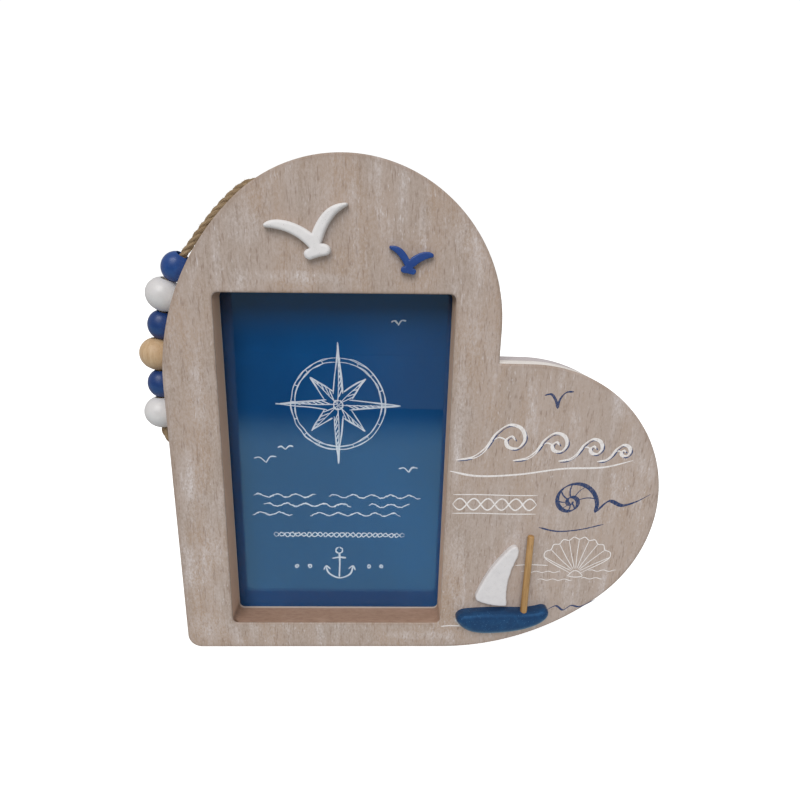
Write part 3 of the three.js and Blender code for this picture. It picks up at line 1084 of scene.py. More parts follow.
@dataclass
class HeartBlock:
    """The heart-shaped block, its window and the rebate behind it, in millimetres from the heart's corner."""

    side: float = 135.0
    lobe_radius: float = 61.6
    lobe_offset: float = 73.4
    lobe_height: float = 148.7
    flank_radius: float = 98.0
    belly_radius: float = 109.0
    corner: float = 6.0
    arris: float = 1.0
    back_arris: float = 0.6
    rim_levels: Flat = (-4.0, 3.0)
    window: Sides = (21.0, 13.0, 116.0, 161.0)
    window_corner: float = 2.3
    window_lean: Flat = (-1.05, 0.6)
    window_slant: float = 0.8
    window_arris: float = 0.6
    straightening: Flat = (-5.0, 0.55)  # depth in the window, and the share of the slant left there
    rebate: Sides = (17.2, 10.3, 119.8, 163.7)
    rebate_corner: float = 0.5
    ledge: float = 2.3

    def straight_end(self, radius: float) -> float:
        """Give how far from the corner a straight side ends and an arc takes it to its lobe."""
        span, drop = radius - self.lobe_radius, radius - self.lobe_offset
        return self.lobe_height - math.sqrt(span ** 2 - drop ** 2)

    @property
    def flank_height(self) -> float:
        """Height where the left side starts to curve."""
        return self.straight_end(self.flank_radius)

    @property
    def shoulder(self) -> float:
        """Angle where the left side meets the upper lobe."""
        return math.atan2(self.lobe_height - self.flank_height, self.lobe_offset - self.flank_radius)

    def outline(self, inset: float) -> list[Flat]:
        """Follow the heart's edge, always with the same number of points.

        Args:
            inset: how far inside the edge the line runs.

        Returns:
            The line's points.
        """
        def arc(x: float, z: float, radius: float, start: float, end: float, steps: int) -> list[Flat]:
            """Follow one arc."""
            return [polar((x, z), radius - inset, start + (end - start) * i / steps)
                    for i in range(steps + 1)]

        corner, flank, belly = self.corner, self.flank_height, self.straight_end(self.belly_radius)
        hip = math.atan2(self.lobe_offset - self.belly_radius, self.lobe_height - belly)
        notch = self.side - inset
        points = [(notch, notch + (self.lobe_height - self.side + inset) * i / 8) for i in range(8)]
        points += arc(self.lobe_offset, self.lobe_height, self.lobe_radius, 0, self.shoulder, 90)
        points += arc(self.flank_radius, flank, self.flank_radius, self.shoulder, math.pi, 40)[1:]
        points += [(inset, flank + (corner - flank) * i / 12) for i in range(1, 12)]
        points += arc(corner, corner, corner, math.pi, 3 * QUARTER, 12)
        points += [(corner + (belly - corner) * i / 12, inset) for i in range(1, 12)]
        points += arc(belly, self.belly_radius, self.belly_radius, -QUARTER, hip, 40)
        points += arc(self.lobe_height, self.lobe_offset, self.lobe_radius, hip, QUARTER, 90)[1:]
        return points + [(self.lobe_height + (notch - self.lobe_height) * i / 8, notch) for i in range(1, 8)]

    @staticmethod
    def opening(sides: Sequence[float], corner: float, grow: float, lean: Flat = (0, 0),
                slant: float = 0) -> list[Flat]:
        """Follow an upright opening with round corners.

        Args:
            sides: its left side, foot, right side and top.
            corner: its corners' radius.
            grow: how far outside it the line runs.
            lean: how far its upper left and right corners are above or below square.
            slant: how far its left side leans in at the top.

        Returns:
            The line's points.
        """
        left, foot, right, top = sides
        middles = ((right - corner, top - corner + lean[1]), (left + corner + slant, top - corner + lean[0]),
                   (left + corner, foot + corner), (right - corner, foot + corner))
        return [polar(middle, corner + grow, (turn + i / 6) * QUARTER)
                for turn, middle in enumerate(middles) for i in range(7)]

    def build(self) -> None:
        """Build the block, dress it and put it in the frame's place."""
        shell = Shell("heart_block")

        def level(points: list[Flat], y: float, mark: float = 0.0) -> list[int]:
            """Add one ring at a depth."""
            return shell.ring([(x - HALF_WIDTH, y, z) for x, z in points], mark)

        def sight(grow: float, share: float = 1.0) -> list[Flat]:
            """Follow the window as it was cut, slanting by a share of its slant."""
            return self.opening(self.window, self.window_corner, grow, self.window_lean,
                                self.window_slant * share)

        # a rounded edge's shares: in from its side and down from its face
        bends = [(1 - math.sin(QUARTER * i / 4), 1 - math.cos(QUARTER * i / 4)) for i in range(5)]
        edge, small, lip = self.arris, self.back_arris, self.window_arris
        front = [level(self.outline(edge * 3), FRONT), level(self.outline(edge * 1.6), FRONT, 0.25)]
        front += [level(self.outline(edge * inset), FRONT + edge * drop, 1.0) for inset, drop in bends]
        rim = [front[-1], *(level(self.outline(0), y) for y in self.rim_levels)]
        rear = [level(self.outline(small * inset), BACK - small * drop) for drop, inset in bends]
        rear.append(level(self.outline(small * 3), BACK))
        mouth = [level(sight(2.2), FRONT), level(sight(1.2), FRONT, 0.15)]
        mouth += [level(sight(lip * inset), FRONT + lip * drop, 0.9) for inset, drop in bends]
        depth, share = self.straightening
        wall = [mouth[-1], level(sight(0, share), depth), level(sight(0, 0), self.ledge)]
        seat = [level(self.opening(self.rebate, self.rebate_corner, 0), y) for y in (self.ledge, BACK)]
        for slot, rings in ((0, front), (1, rim + rear[:1]), (3, rear), (0, mouth), (2, wall + seat)):
            shell.loft(rings, slot)
        shell.cap([front[0], mouth[0]], slot=0)
        shell.cap([rear[-1], seat[-1]], slot=3)
        sawn = RawWood("window_wall", rgb(160, 130, 112), rgb(140, 112, 94), rgb(174, 146, 128), True)
        back = RawWood("block_back", rgb(186, 160, 132), rgb(152, 124, 98), rgb(206, 184, 158))
        finishes = [wood.material() for wood in (LimedWood(), WashedRim(), sawn, back)]
        keep(shell.piece(finishes), FRAME_BODY, "limed_wood", "frame_body")


@dataclass
class WindowLayers:
    """Glass, card and backing board, held in the rebate."""

    def build(self, nodes: dict[str, bpy.types.Object]) -> None:
        """Dress the three layers where they lie.

        Args:
            nodes: the frame's CAD nodes by name.
        """
        for name, finish in (("glass_pane", WindowGlass()), ("picture_card", BlueCard()),
                             ("backing_board", Fibreboard())):
            layer = nodes[name]
            layer.data.materials.clear()
            layer.data.materials.append(finish.material())
            LOG.info("%s dressed", name)
        nodes["glass_pane"].visible_shadow = False


def swollen(name: str, outline: Sequence[Flat], thick: float, rounding: float | Field, step: float,
            carve: Field | None = None, rows: Sequence[Flat] = ()) -> Shell:
    """Raise a flat outline into a piece with softened edges, lying in x and y with its face up z.

    Args:
        name: the piece's name.
        outline: its outline.
        thick: how thick it is.
        rounding: the edge's radius, or how it varies over flat points.
        step: about how far apart its points are.
        carve: how far the face is cut down at each flat point.
        rows: more points that the face has to have.

    Returns:
        The shell.
    """
    loop = even(outline, step)
    ahead = np.roll(loop, -1, axis=0) - np.roll(loop, 1, axis=0)
    inward = np.stack([-ahead[:, 1], ahead[:, 0]], 1) / np.hypot(*ahead.T)[:, None]
    area = (loop[:, 0] * np.roll(loop[:, 1], -1) - np.roll(loop[:, 0], -1) * loop[:, 1]).sum()
    inward *= 1 if area > 0 else -1
    low, high = loop.min(0), loop.max(0)
    edge = rounding if callable(rounding) else lambda at: np.full(len(at), rounding)
    widest = float(edge(loop).max())
    spots = [np.array(rows).reshape(-1, 2)] if len(rows) else []
    for share in (0.04, 0.14, 0.3, 0.52, 0.78, 1.0):
        row = loop + inward * (widest * share)
        spots.append(row[to_edge(row, loop) > widest * share * 0.97])
    columns, lines = (np.arange(low[i], high[i], step * 1.6) for i in (0, 1))
    grid = np.stack(np.meshgrid(columns, lines), -1).reshape(-1, 2)
    spots.append(grid[to_edge(grid, loop) > widest * 1.06 + step * 0.4])
    inner = np.vstack(spots)
    inner = inner[inside(inner, [loop])]
    _, first = np.unique(np.round(inner / (step * 0.12)).astype(int), axis=0, return_index=True)
    inner = inner[np.sort(first)]

    def rise(points: np.ndarray) -> np.ndarray:
        """Give the face's height.

        Args:
            points: flat points.

        Returns:
            The height at each.
        """
        radius = np.minimum(edge(points), thick * 0.9)
        short = np.clip(radius - to_edge(points, loop), 0, None)
        face = thick - radius + np.sqrt(np.clip(radius ** 2 - short ** 2, 0, None))
        return face - (carve(points) if carve else 0)

    shell = Shell(name)
    base = shell.ring([(x, y, 0) for x, y in loop])
    brim = shell.ring([(x, y, z) for (x, y), z in zip(loop, rise(loop))])
    body = shell.ring([(x, y, z) for (x, y), z in zip(inner, rise(inner))])
    shell.cap([base], (0, 1))
    shell.loft([base, brim])
    shell.cap([brim], (0, 1), extra=body)
    return shell


def facing(x: float, z: float, y: float, front: bool = True, turn: float = 0.0) -> Matrix:
    """Stand a flat piece up against the block.

    Args:
        x: its middle, in part millimetres.
        z: its height.
        y: the depth of its flat side.
        front: whether it faces the front or the back.
        turn: its turn in its own plane.

    Returns:
        The matrix that places it.
    """
    sideways = 1 if front else -1
    stand = Matrix(((sideways, 0, 0, x), (0, 0, -sideways, y), (0, 1, 0, z), (0, 0, 0, 1)))
    return stand @ Matrix.Rotation(turn, 4, "Z")


def turned(name: str, profile: Sequence[Flat], steps: int) -> Shell:
    """Turn a closed profile about z.

    Args:
        name: the piece's name.
        profile: radius and height of each of its points.
        steps: points round each ring.

    Returns:
        The shell.
    """
    shell = Shell(name)
    rings = [shell.ring([(x, y, height) for x, y in circle((0, 0), radius, steps)])
             for radius, height in profile]
    shell.loft(rings + rings[:1])
    return shell


@dataclass
class Seaside:
    """Two gulls and a sailing boat, sawn from thin wood, painted and glued to the face."""

    gull: Path = ((-56, 9), (-45, 19, -16, 13, 0, 0), (7, 18, 19, 35, 42, 35), (44, 34, 42, 32),
                  (27, 24, 18, 12, 11, -11), (24, -10, 26, -23, 15, -25), (7, -26, -2, -30),
                  (-9, -31, -15, -20, -3, -17), (-14, -5, -30, 4, -55, 5), (-58, 6, -56, 9))
    mate: Path = ((-57, 9), (-46, 22, -16, 17, 1, 3), (7, 22, 18, 39, 43, 39), (46, 37, 44, 32),
                  (29, 23, 21, 10, 13, -10), (26, -9, 28, -24, 16, -26), (7, -28, -3, -32),
                  (-12, -33, -17, -20, -5, -17), (-17, -9, -31, 0, -55, 2), (-59, 4, -57, 9))
    hull: Path = ((-60.5, -1.5), (-33.5, 1, -5.7, 0), (7.7, 0.2, 16.3, 2.8),
                  (24.5, 6.1, 30.7, 0.9, 25, -8.5), (15.1, -22.2, -11.6, -27.9, -39.2, -27.9),
                  (-60.5, -28.2, -68, -20.2, -72, -13.1), (-74.6, -8.6, -71.2, -2.3, -60.5, -1.5))
    sail: Path = ((-27.8, 5.6), (-24.8, 5.6, -24.8, 9.6), (-30.8, 46.6, -15.8, 82.6),
                  (-11.3, 93.6, -14.8, 106.1, -24.8, 100.1), (-55.8, 67.6, -69.8, 25.6),
                  (-73.8, 15.6, -64.3, 12.6), (-48.8, 5.6, -27.8, 5.6))
    white_span: float = 31.2
    white_thick: float = 3.4
    white_at: Flat = (60.7, 182.2)
    blue_span: float = 16.0
    blue_thick: float = 2.6
    blue_at: Flat = (97.4, 173.5)
    blue_tilt: float = 8.0
    mast_foot: Flat = (154.0, 22.0)
    hull_length: float = 42.4
    hull_depth: float = 6.2
    hull_rounding: tuple[Flat, Flat] = ((-9, -2), (4.2, 3.2))  # heights, and the edge's radius at each
    sail_height: float = 31.6
    sail_thick: float = 2.6
    mast_radius: float = 1.55
    mast_height: float = 38.0
    mast_tenon: float = 5.0
    mast_standoff: float = 3.1
    glued: float = -11.05
    saw_slip: float = 0.09
    seed: int = 5

    def sized(self, path: Path, size: float, mirrored: bool = False) -> list[Flat]:
        """Draw an outline to size.

        Args:
            path: the outline, in hundredths of its size.
            size: its size.
            mirrored: whether it is turned left to right.

        Returns:
            Its points.
        """
        flip = -1 if mirrored else 1
        points = [(x * flip * size / 100, y * size / 100) for x, y in traced(path)]
        return points[::-1] if mirrored else points

    def glue_on(self, shell: Shell, at: Flat, paint: Enamel, slot: str, node: str, tilt: float = 0.0) -> None:
        """Paint an ornament and glue it to the face at a place in heart millimetres, tilted by degrees."""
        shell.move(facing(at[0] - HALF_WIDTH, at[1], self.glued, turn=math.radians(tilt)))
        keep(shell.piece([paint.material()]), FRAME_BODY, slot, node)

    def build(self) -> None:
        """Build the ornaments, dress them and glue them on."""
        dust = rgb(168, 160, 154)
        white = Enamel("white_paint", rgb(224, 221, 220), rgb(213, 210, 210), Gloss.MATTE, dust, 0.5)
        blue = Enamel("blue_paint", rgb(18, 58, 128), rgb(30, 76, 148), Gloss.SATIN, rgb(70, 104, 160), 0.3)
        # its light-blue specks are painted glints on the gloss paint
        navy = Enamel("hull_paint", rgb(34, 58, 91), rgb(38, 72, 109), Gloss.THICK, rgb(96, 142, 184), 0.45,
                      sheen=rgb(80, 160, 225))
        cloth = Enamel("sail_paint", rgb(217, 213, 213), rgb(205, 201, 202), Gloss.MATTE, dust, 0.5)
        gull = swollen("white_gull_cut", self.sized(self.gull, self.white_span), self.white_thick, 1.25, 0.45)
        self.glue_on(gull, self.white_at, white, "white_paint", "white_gull")
        mate = swollen("blue_gull_cut", self.sized(self.mate, self.blue_span, True),
                       self.blue_thick, 0.55, 0.3)
        self.glue_on(mate, self.blue_at, blue, "blue_paint", "blue_gull", self.blue_tilt)
        hull = swollen("boat_hull_cut", self.sized(self.hull, self.hull_length), self.hull_depth,
                       lambda at: np.interp(at[:, 1], *self.hull_rounding), 0.5)
        self.glue_on(hull, self.mast_foot, navy, "blue_paint", "boat_hull")
        sawn = strayed(even(self.sized(self.sail, self.sail_height), 0.6),
                       random.Random(self.seed), self.saw_slip)
        sail = swollen("boat_sail_cut", sawn, self.sail_thick, 0.85, 0.45)
        self.glue_on(sail, self.mast_foot, cloth, "white_paint", "boat_sail")
        self.mast()
        self.glue()

    def mast(self) -> None:
        """Stand the mast in the deck."""
        top, radius = self.mast_height, self.mast_radius
        mast = turned("boat_mast_dowel", [
            (0.02, -self.mast_tenon), (radius, -self.mast_tenon), (radius, 0), (radius * 0.99, 10),
            (radius * 0.97, 24), (radius * 0.95, top - 0.5), (radius * 0.86, top - 0.15), (radius * 0.7, top),
            (0.02, top)], 40)
        x, z = self.mast_foot
        mast.move(Matrix.Translation((x - HALF_WIDTH, FRONT - self.mast_standoff, z)))
        oiled = TurnedWood("oiled_dowel", rgb(164, 122, 70), rgb(104, 74, 42), rgb(184, 142, 88)).material()
        keep(mast.piece([oiled]), FRAME_BODY, "oiled_wood", "boat_mast")

    def glue(self) -> None:
        """Leave the glue that was pressed out under the hull."""
        glue = DriedGlue().material()
        turns = [TURN * i / 40 for i in range(40)]
        for name, (x, z), (wide, tall), turn in (("glue_left", (-28.9, -8.6), (3.2, 0.9), -0.8),
                                                 ("glue_right", (0.6, -9.2), (4.2, 0.6), 0.28)):
            ring = [(wide * math.cos(a) * (1 + 0.16 * math.sin(3 * a)),
                     tall * math.sin(a) * (1 + 0.25 * math.sin(5 * a + 1))) for a in turns]
            blob = swollen(name, ring, 0.7, 0.6, 0.25)
            x, z = x + self.mast_foot[0] - HALF_WIDTH, z + self.mast_foot[1]
            keep(blob.move(facing(x, z, FRONT - 0.02, turn=turn)).piece([glue]), FRAME_BODY, "white_paint")


@dataclass
class TurnButtons:
    """Four brass buttons on screws that keep the backing board in."""

    reach: float = 15.0
    width: float = 8.0
    thick: float = 1.0
    gap: float = 0.3
    head_radius: float = 3.0
    head_height: float = 1.6
    slot_width: float = 0.8
    slot_depth: float = 0.7
    dimple: Sides = (0.22, 8.0, 2.2, 2.4)  # how high, where, how long and how wide it is stamped up
    window_middle: float = -36.0
    seed: int = 3

    def build(self, joints: Sequence[dict]) -> None:
        """Build the buttons on their pivots and the screw heads over them.

        Args:
            joints: the record's joints.
        """
        brass = Brass().material()
        pivots = [joint for joint in joints if joint["child"].startswith("turn_button")]
        end, half_turn = self.width / 2, np.linspace(-QUARTER, QUARTER, 28)
        plate = [polar((0, 0), -end, a) for a in half_turn]
        plate += [polar((self.reach - end, 0), end, a) for a in half_turn]
        high, middle, long, wide = self.dimple

        def stamped(at: np.ndarray) -> np.ndarray:
            """Give how far the stamp cuts down, which is less than nothing where it lifts."""
            return -high * np.exp(-((at[:, 0] - middle) / long) ** 2) * np.exp(-(at[:, 1] / wide) ** 2)

        for joint in pivots:
            x, _, z = (part / MM for part in joint["pos_m"])
            inward = x > self.window_middle
            button = swollen(joint["child"] + "_plate", plate, self.thick, 0.3, 0.6, stamped)
            button.move(facing(x, z, BACK + self.gap, False, 0 if inward else math.pi))
            keep(button.piece([brass]), joint["child"], "brass", joint["child"])
        self.screws(brass, [Vector(joint["pos_m"]) for joint in pivots])

    def screws(self, brass: bpy.types.Material, spots: Sequence[Vector]) -> None:
        """Set one slotted head on each pivot.

        Args:
            brass: the screws' material.
            spots: the pivots.
        """
        half, run = self.slot_width / 2, np.linspace(-2.95, 2.95, 40)
        rows = [(side * (half + lip), v) for side in (-1, 1) for lip in (-0.04, 0.04) for v in run]
        head = swollen("screw_head", circle((0, 0), self.head_radius, 48), self.head_height, 1.3, 0.3,
                       lambda at: np.where(np.abs(at[:, 0]) < half, self.slot_depth, 0.0), rows)
        single = head.move(facing(0, 0, 0, False)).piece([brass], 30)
        lift = Vector((0, (self.thick + 2 * self.gap) * MM, 0))
        seats = host("screw_seats", [[spot + lift] for spot in spots])
        tree = Tree("screw heads", Head=single, Brass=brass, Seed=self.seed)
        shape = tree.node("GeometryNodeObjectInfo", {"transform_space": "RELATIVE"},
                          {"Object": tree.given("Head")}, "Geometry")
        dots = tree.node("GeometryNodeMeshToPoints", {}, {"Mesh": tree.start, "Radius": 0.001})
        spin = tree.node("ShaderNodeCombineXYZ", {}, {0: 0.0, 1: tree.random(0.0, math.pi), 2: 0.0})
        set_on = tree.node("GeometryNodeInstanceOnPoints", {}, {
            "Points": dots, "Instance": shape, "Rotation": spin})
        mesh = tree.run(seats, set_on, tree.given("Brass"))
        bpy.data.objects.remove(single)
        heads = finished("turn_button_screw_heads", mesh, 30)
        keep(heads, FRAME_BODY, "brass", *(f"turn_button_screw_{n}" for n in range(1, len(spots) + 1)))


class BeadKind(Enum):
    """A bead's radius, length, finish and material slot."""

    SMALL_BLUE = (5.5, 11.2, "blue", "blue_paint")
    LARGE_WHITE = (7.1, 13.0, "white", "white_paint")
    LARGE_BARE = (7.1, 13.0, "bare", "pale_wood")
    # the same blue painted darker: painted shade for the lower blue beads
    SMALL_SHADED_BLUE = (5.5, 11.2, "deep", "blue_paint")


@dataclass
class BeadString:
    """Six wooden beads on a jute twine that goes into the block's left rim at both ends."""

    bore: float = 2.3
    twine: float = 1.4
    ply: float = 0.76
    pitch: float = 12.0
    lumps: Flat = (260.0, 0.6)  # how many to a metre, and how much they swell a ply
    covered: float = 7.2  # how far from its middle a bead covers the twine
    fuzz: float = 1.3
    fuzz_root: float = 0.03
    fuzz_tip: float = 0.006
    fuzz_count: float = 1.6e6  # to a square metre
    seed: int = 11

    # along the rim from its foot, out from it, and behind the front
    ROUTE = ((219, -6, 8.4), (215.8, -2.4, 8.4), (212, 0.8, 8.4), (207.6, 2.1, 8.5), (201, 2.6, 8.7),
             (193.4, 2.9, 9), (185.5, 3.3, 9.6), (177, 4.3, 10.7), (168.6, 5.95, 12), (156.9, 7.45, 13.4),
             (145.1, 6.4, 14.8), (133.6, 7.45, 15.6), (121.4, 6.4, 15.7), (109, 7.45, 15.9), (102.6, 7.4, 16),
             (98, 6.5, 16), (94.6, 3.8, 16), (93.2, -0.8, 16), (93, -6.4, 16))
    HOLES = ((212.9, 0, 8.4), (93.4, 0, 16))
    ORDER = (BeadKind.SMALL_BLUE, BeadKind.LARGE_WHITE, BeadKind.SMALL_SHADED_BLUE, BeadKind.LARGE_BARE,
             BeadKind.SMALL_SHADED_BLUE, BeadKind.LARGE_WHITE)

    def beside_rim(self, along: float, out: float, depth: float) -> Vector:
        """Find the part's point beside the left rim.

        Args:
            along: how far along the rim from its foot.
            out: how far out from it.
            depth: how far behind the front.

        Returns:
            The point, in metres.
        """
        block = HeartBlock()
        past = along - block.flank_height
        over = past - block.flank_radius * (math.pi - block.shoulder)
        if past < 0:
            x, z = -out, along
        elif over < 0:
            x, z = polar((block.flank_radius, block.flank_height), block.flank_radius + out,
                         math.pi - past / block.flank_radius)
        else:
            x, z = polar((block.lobe_offset, block.lobe_height), block.lobe_radius + out,
                         block.shoulder - over / block.lobe_radius)
        return Vector((x - HALF_WIDTH, FRONT + depth, z)) * MM

    def line(self) -> list[Vector]:
        """Give the twine's middle line, in metres."""
        return smooth([self.beside_rim(*stop) for stop in self.ROUTE], 0.45 * MM)

    def holes(self) -> list[Vector]:
        """Give where the twine meets the rim, in metres."""
        return [self.beside_rim(*hole) for hole in self.HOLES]

    def build(self, joints: Sequence[dict]) -> None:
        """Args:
            joints: the record's joints.
        """
        def enamel(name: str, colour: Colour, thin: Colour, speck_and_glint: Colour, specks_and_glints: float) -> Enamel:
            """Give a bead's paint, which turns with it."""
            return Enamel(name, colour, thin, Gloss.SATIN, speck_and_glint, specks_and_glints, OWN)

        finishes = {
            "blue": enamel("blue_bead", rgb(18, 60, 124), rgb(32, 77, 144), rgb(92, 122, 172), 0.25),
            # painted shade: the lower blue beads get the same blue made darker, for the shade they lie in
            "deep": enamel("deep_bead", rgb(13, 49, 106), rgb(25, 64, 126), rgb(84, 112, 160), 0.25),
            "white": enamel("white_bead", rgb(209, 206, 205), rgb(199, 196, 195), rgb(188, 181, 175), 0.35),
            "bare": TurnedWood("bare_bead", rgb(187, 155, 117), rgb(158, 122, 83), rgb(197, 168, 132), OWN)}
        paints = {name: finish.material() for name, finish in finishes.items()}
        axles = [joint for joint in joints if joint["child"].startswith("bead")]
        beads = []
        for joint, kind in zip(sorted(axles, key=lambda j: j["child"]), self.ORDER):
            radius, length, paint, slot = kind.value
            shell = self.bead(joint["child"] + "_turned", radius, length)
            axis = Vector(joint["axis"]).to_track_quat("Z", "Y").to_matrix().to_4x4()
            shell.move(Matrix.Translation(Vector(joint["pos_m"]) / MM) @ axis)
            beads.append(keep(shell.piece([paints[paint]]), joint["child"], slot, joint["child"]))
        self.string(beads)

    def bead(self, name: str, radius: float, length: float) -> Shell:
        """Turn one bead: a round body, softened mouths and the bore.

        Args:
            name: its name.
            radius: its radius.
            length: its length, from mouth to mouth.

        Returns:
            The shell, about z.
        """
        mouth = math.acos((self.bore + 0.45) / radius)
        half = length / 2 / math.sin(math.acos(self.bore / radius))
        body = [(radius * math.cos(a), half * math.sin(a)) for a in np.linspace(-mouth, mouth, 34)]
        funnel = [(self.bore + wide, length / 2 - deep)
                  for wide, deep in ((0.2, 0.04), (0.04, 0.25), (0, 0.7))]
        bore = [*funnel, (self.bore, 0), *((r, -z) for r, z in funnel[::-1])]
        return turned(name, body + bore, 64)

    def string(self, beads: Sequence[bpy.types.Object]) -> None:
        """Lay the twine: three twisted plies along its line, with loose fibres on the open runs.

        Args:
            beads: the beads on it.
        """
        line = self.line()
        middles = [sum((Vector(corner) for corner in bead.bound_box), Vector()) / 8 for bead in beads]
        reach = self.covered * MM
        bare = [float(min((point - middle).length for middle in middles) > reach) for point in line]
        tree = Tree("twisted twine", Ply=self.ply * MM, Lay=(self.twine - self.ply) * MM,
                    Pitch=self.pitch * MM, Fuzz=self.fuzz * MM, Jute=Jute().material(), Seed=self.seed)
        strands = tree.join(*self.plies(tree))
        shape = tree.join(strands, self.fibres(tree, strands))
        mesh = tree.run(host("twine_line", [line], bare=bare), shape, tree.given("Jute"))
        twine = finished("twisted_twine", mesh, 60)
        keep(twine, FRAME_BODY, "jute", "twine")
        run = sum((b - a).length for a, b in zip(line, line[1:]))
        [tuple(point) for point in line[::6] + line[-1:]]

    def plies(self, tree: Tree) -> list[Sock]:
        """Twist three plies about the twine's line.

        Args:
            tree: the twine's tree, which starts from the line.

        Returns:
            The plies.
        """
        often, swell = self.lumps
        middle = tree.node("GeometryNodeMeshToCurve", {}, {"Mesh": tree.start})
        length = tree.node("GeometryNodeSplineParameter", out="Length")
        normal = tree.node("GeometryNodeInputNormal")
        side = tree.vector("CROSS_PRODUCT", tree.node("GeometryNodeInputTangent"), normal)
        around = tree.node("GeometryNodeSplineParameter", out="Factor")
        section = tree.node("GeometryNodeCurvePrimitiveCircle", {}, {
            "Resolution": 12, "Radius": tree.given("Ply")})
        section = tree.store(section, "around", around)
        lumps = tree.node("ShaderNodeTexNoise", {}, {
            "Vector": tree.node("GeometryNodeInputPosition"), "Scale": often})
        plies = []
        for third in range(3):
            angle = length * TURN / tree.given("Pitch") + TURN * third / 3
            lift = tree.vector("SCALE", normal, angle.cosine() * tree.given("Lay"))
            swing = tree.vector("SCALE", side, angle.sine() * tree.given("Lay"))
            strand = tree.node("GeometryNodeSetPosition", {}, {
                "Geometry": middle, "Offset": tree.vector("ADD", lift, swing)})
            plies.append(tree.node("GeometryNodeCurveToMesh", {}, {
                "Curve": tree.store(strand, "along", length + 0.04 * third), "Profile Curve": section,
                "Scale": lumps * swell + 0.74, "Fill Caps": True}))
        return plies

    def fibres(self, tree: Tree, strands: Sock) -> Sock:
        """Stand loose fibres on the twine's open runs.

        Args:
            tree: the twine's tree.
            strands: the plies that they stand on.

        Returns:
            The fibres.
        """
        dots = tree.node("GeometryNodeDistributePointsOnFaces", {"distribute_method": "RANDOM"}, {
            "Mesh": strands, "Density": tree.field("bare") * self.fuzz_count, "Seed": tree.given("Seed")})
        fibre = tree.node("GeometryNodeMeshCone", {}, {
            "Vertices": 3, "Side Segments": 2, "Radius Top": self.fuzz_tip * MM,
            "Radius Bottom": self.fuzz_root * MM, "Depth": tree.given("Fuzz")})
        leaning = tree.node("FunctionNodeRotateRotation", {"rotation_space": "LOCAL"}, {
            0: dots.other("Rotation"), 1: tree.random((-1.15, -1.15, 0.0), (1.15, 1.15, TURN))})
        return tree.node("GeometryNodeInstanceOnPoints", {}, {
            "Points": dots, "Instance": fibre, "Rotation": leaning, "Scale": tree.random(0.35, 1.0)})


@dataclass(frozen=True)
class Stroke:
    """One drawn line: its points in heart millimetres and its thinnest and thickest width."""

    points: tuple[Flat, ...]
    thin: float
    thick: float
    slant: float = 0.6  # the pen's angle

    def widths(self, line: Sequence[Vector]) -> list[float]:
        """Make the line thick on strokes across the pen and tapered at its ends.

        Args:
            line: the smoothed line.

        Returns:
            Half the width at each of its points.
        """
        halves = []
        for i in range(len(line)):
            way = line[min(i + 1, len(line) - 1)] - line[max(i - 1, 0)]
            across = abs(math.sin(math.atan2(way[1], way[0]) - self.slant))
            share = i / max(1, len(line) - 1)
            taper = min(1.0, 0.35 + 9 * min(share, 1 - share))
            halves.append((self.thin + (self.thick - self.thin) * across) * taper / 2)
        return halves


class Print:
    """Drawn lines that lie as low ribbons of ink on one plane."""

    def __init__(self, name: str, ink: Ink, depth: float, step: float = 0.6) -> None:
        """Start a print on a plane's depth, with its points a step apart, in millimetres."""
        self.name, self.ink, self.depth, self.step = name, ink, depth, step
        self.strokes: list[Stroke] = []

    def draw(self, points: Sequence[Flat], thin: float, thick: float | None = None) -> None:
        """Add a line in heart millimetres, from its thinnest to its thickest width or with an even pen."""
        self.strokes.append(Stroke(tuple(points), thin, thick or thin))

    def build(self, relief: float = 0.06) -> None:
        """Lay the ribbons.

        Args:
            relief: how flat they are pressed, as a share of their width.
        """
        lines, halves = [], []
        for stroke in self.strokes:
            line = smooth(stroke.points, self.step)
            halves += [half * MM for half in stroke.widths(line)]
            lines.append([Vector((x - HALF_WIDTH, self.depth, z)) * MM for x, z in line])
        start = host(self.name + "_lines", lines, half=halves)
        ink = self.ink.material()
        tree = Tree("ink ribbon", Depth=self.depth * MM, Relief=relief, Ink=ink)
        curve = tree.node("GeometryNodeMeshToCurve", {}, {"Mesh": tree.start})
        section = tree.node("GeometryNodeCurvePrimitiveCircle", {}, {"Resolution": 6, "Radius": 1.0})
        ribbon = tree.node("GeometryNodeCurveToMesh", {}, {
            "Curve": curve, "Profile Curve": section, "Scale": tree.field("half"), "Fill Caps": True})
        place = tree.node("ShaderNodeSeparateXYZ", {}, {0: tree.node("GeometryNodeInputPosition")})
        pressed = tree.given("Depth") + (place.other(1) - tree.given("Depth")) * tree.given("Relief")
        flat = tree.node("ShaderNodeCombineXYZ", {}, {0: place, 1: pressed, 2: place.other(2)})
        ribbon = tree.node("GeometryNodeSetPosition", {}, {"Geometry": ribbon, "Position": flat})
        mesh = tree.run(start, ribbon, tree.given("Ink"))
        keep(finished(self.name, mesh, 80), FRAME_BODY, "white_paint")


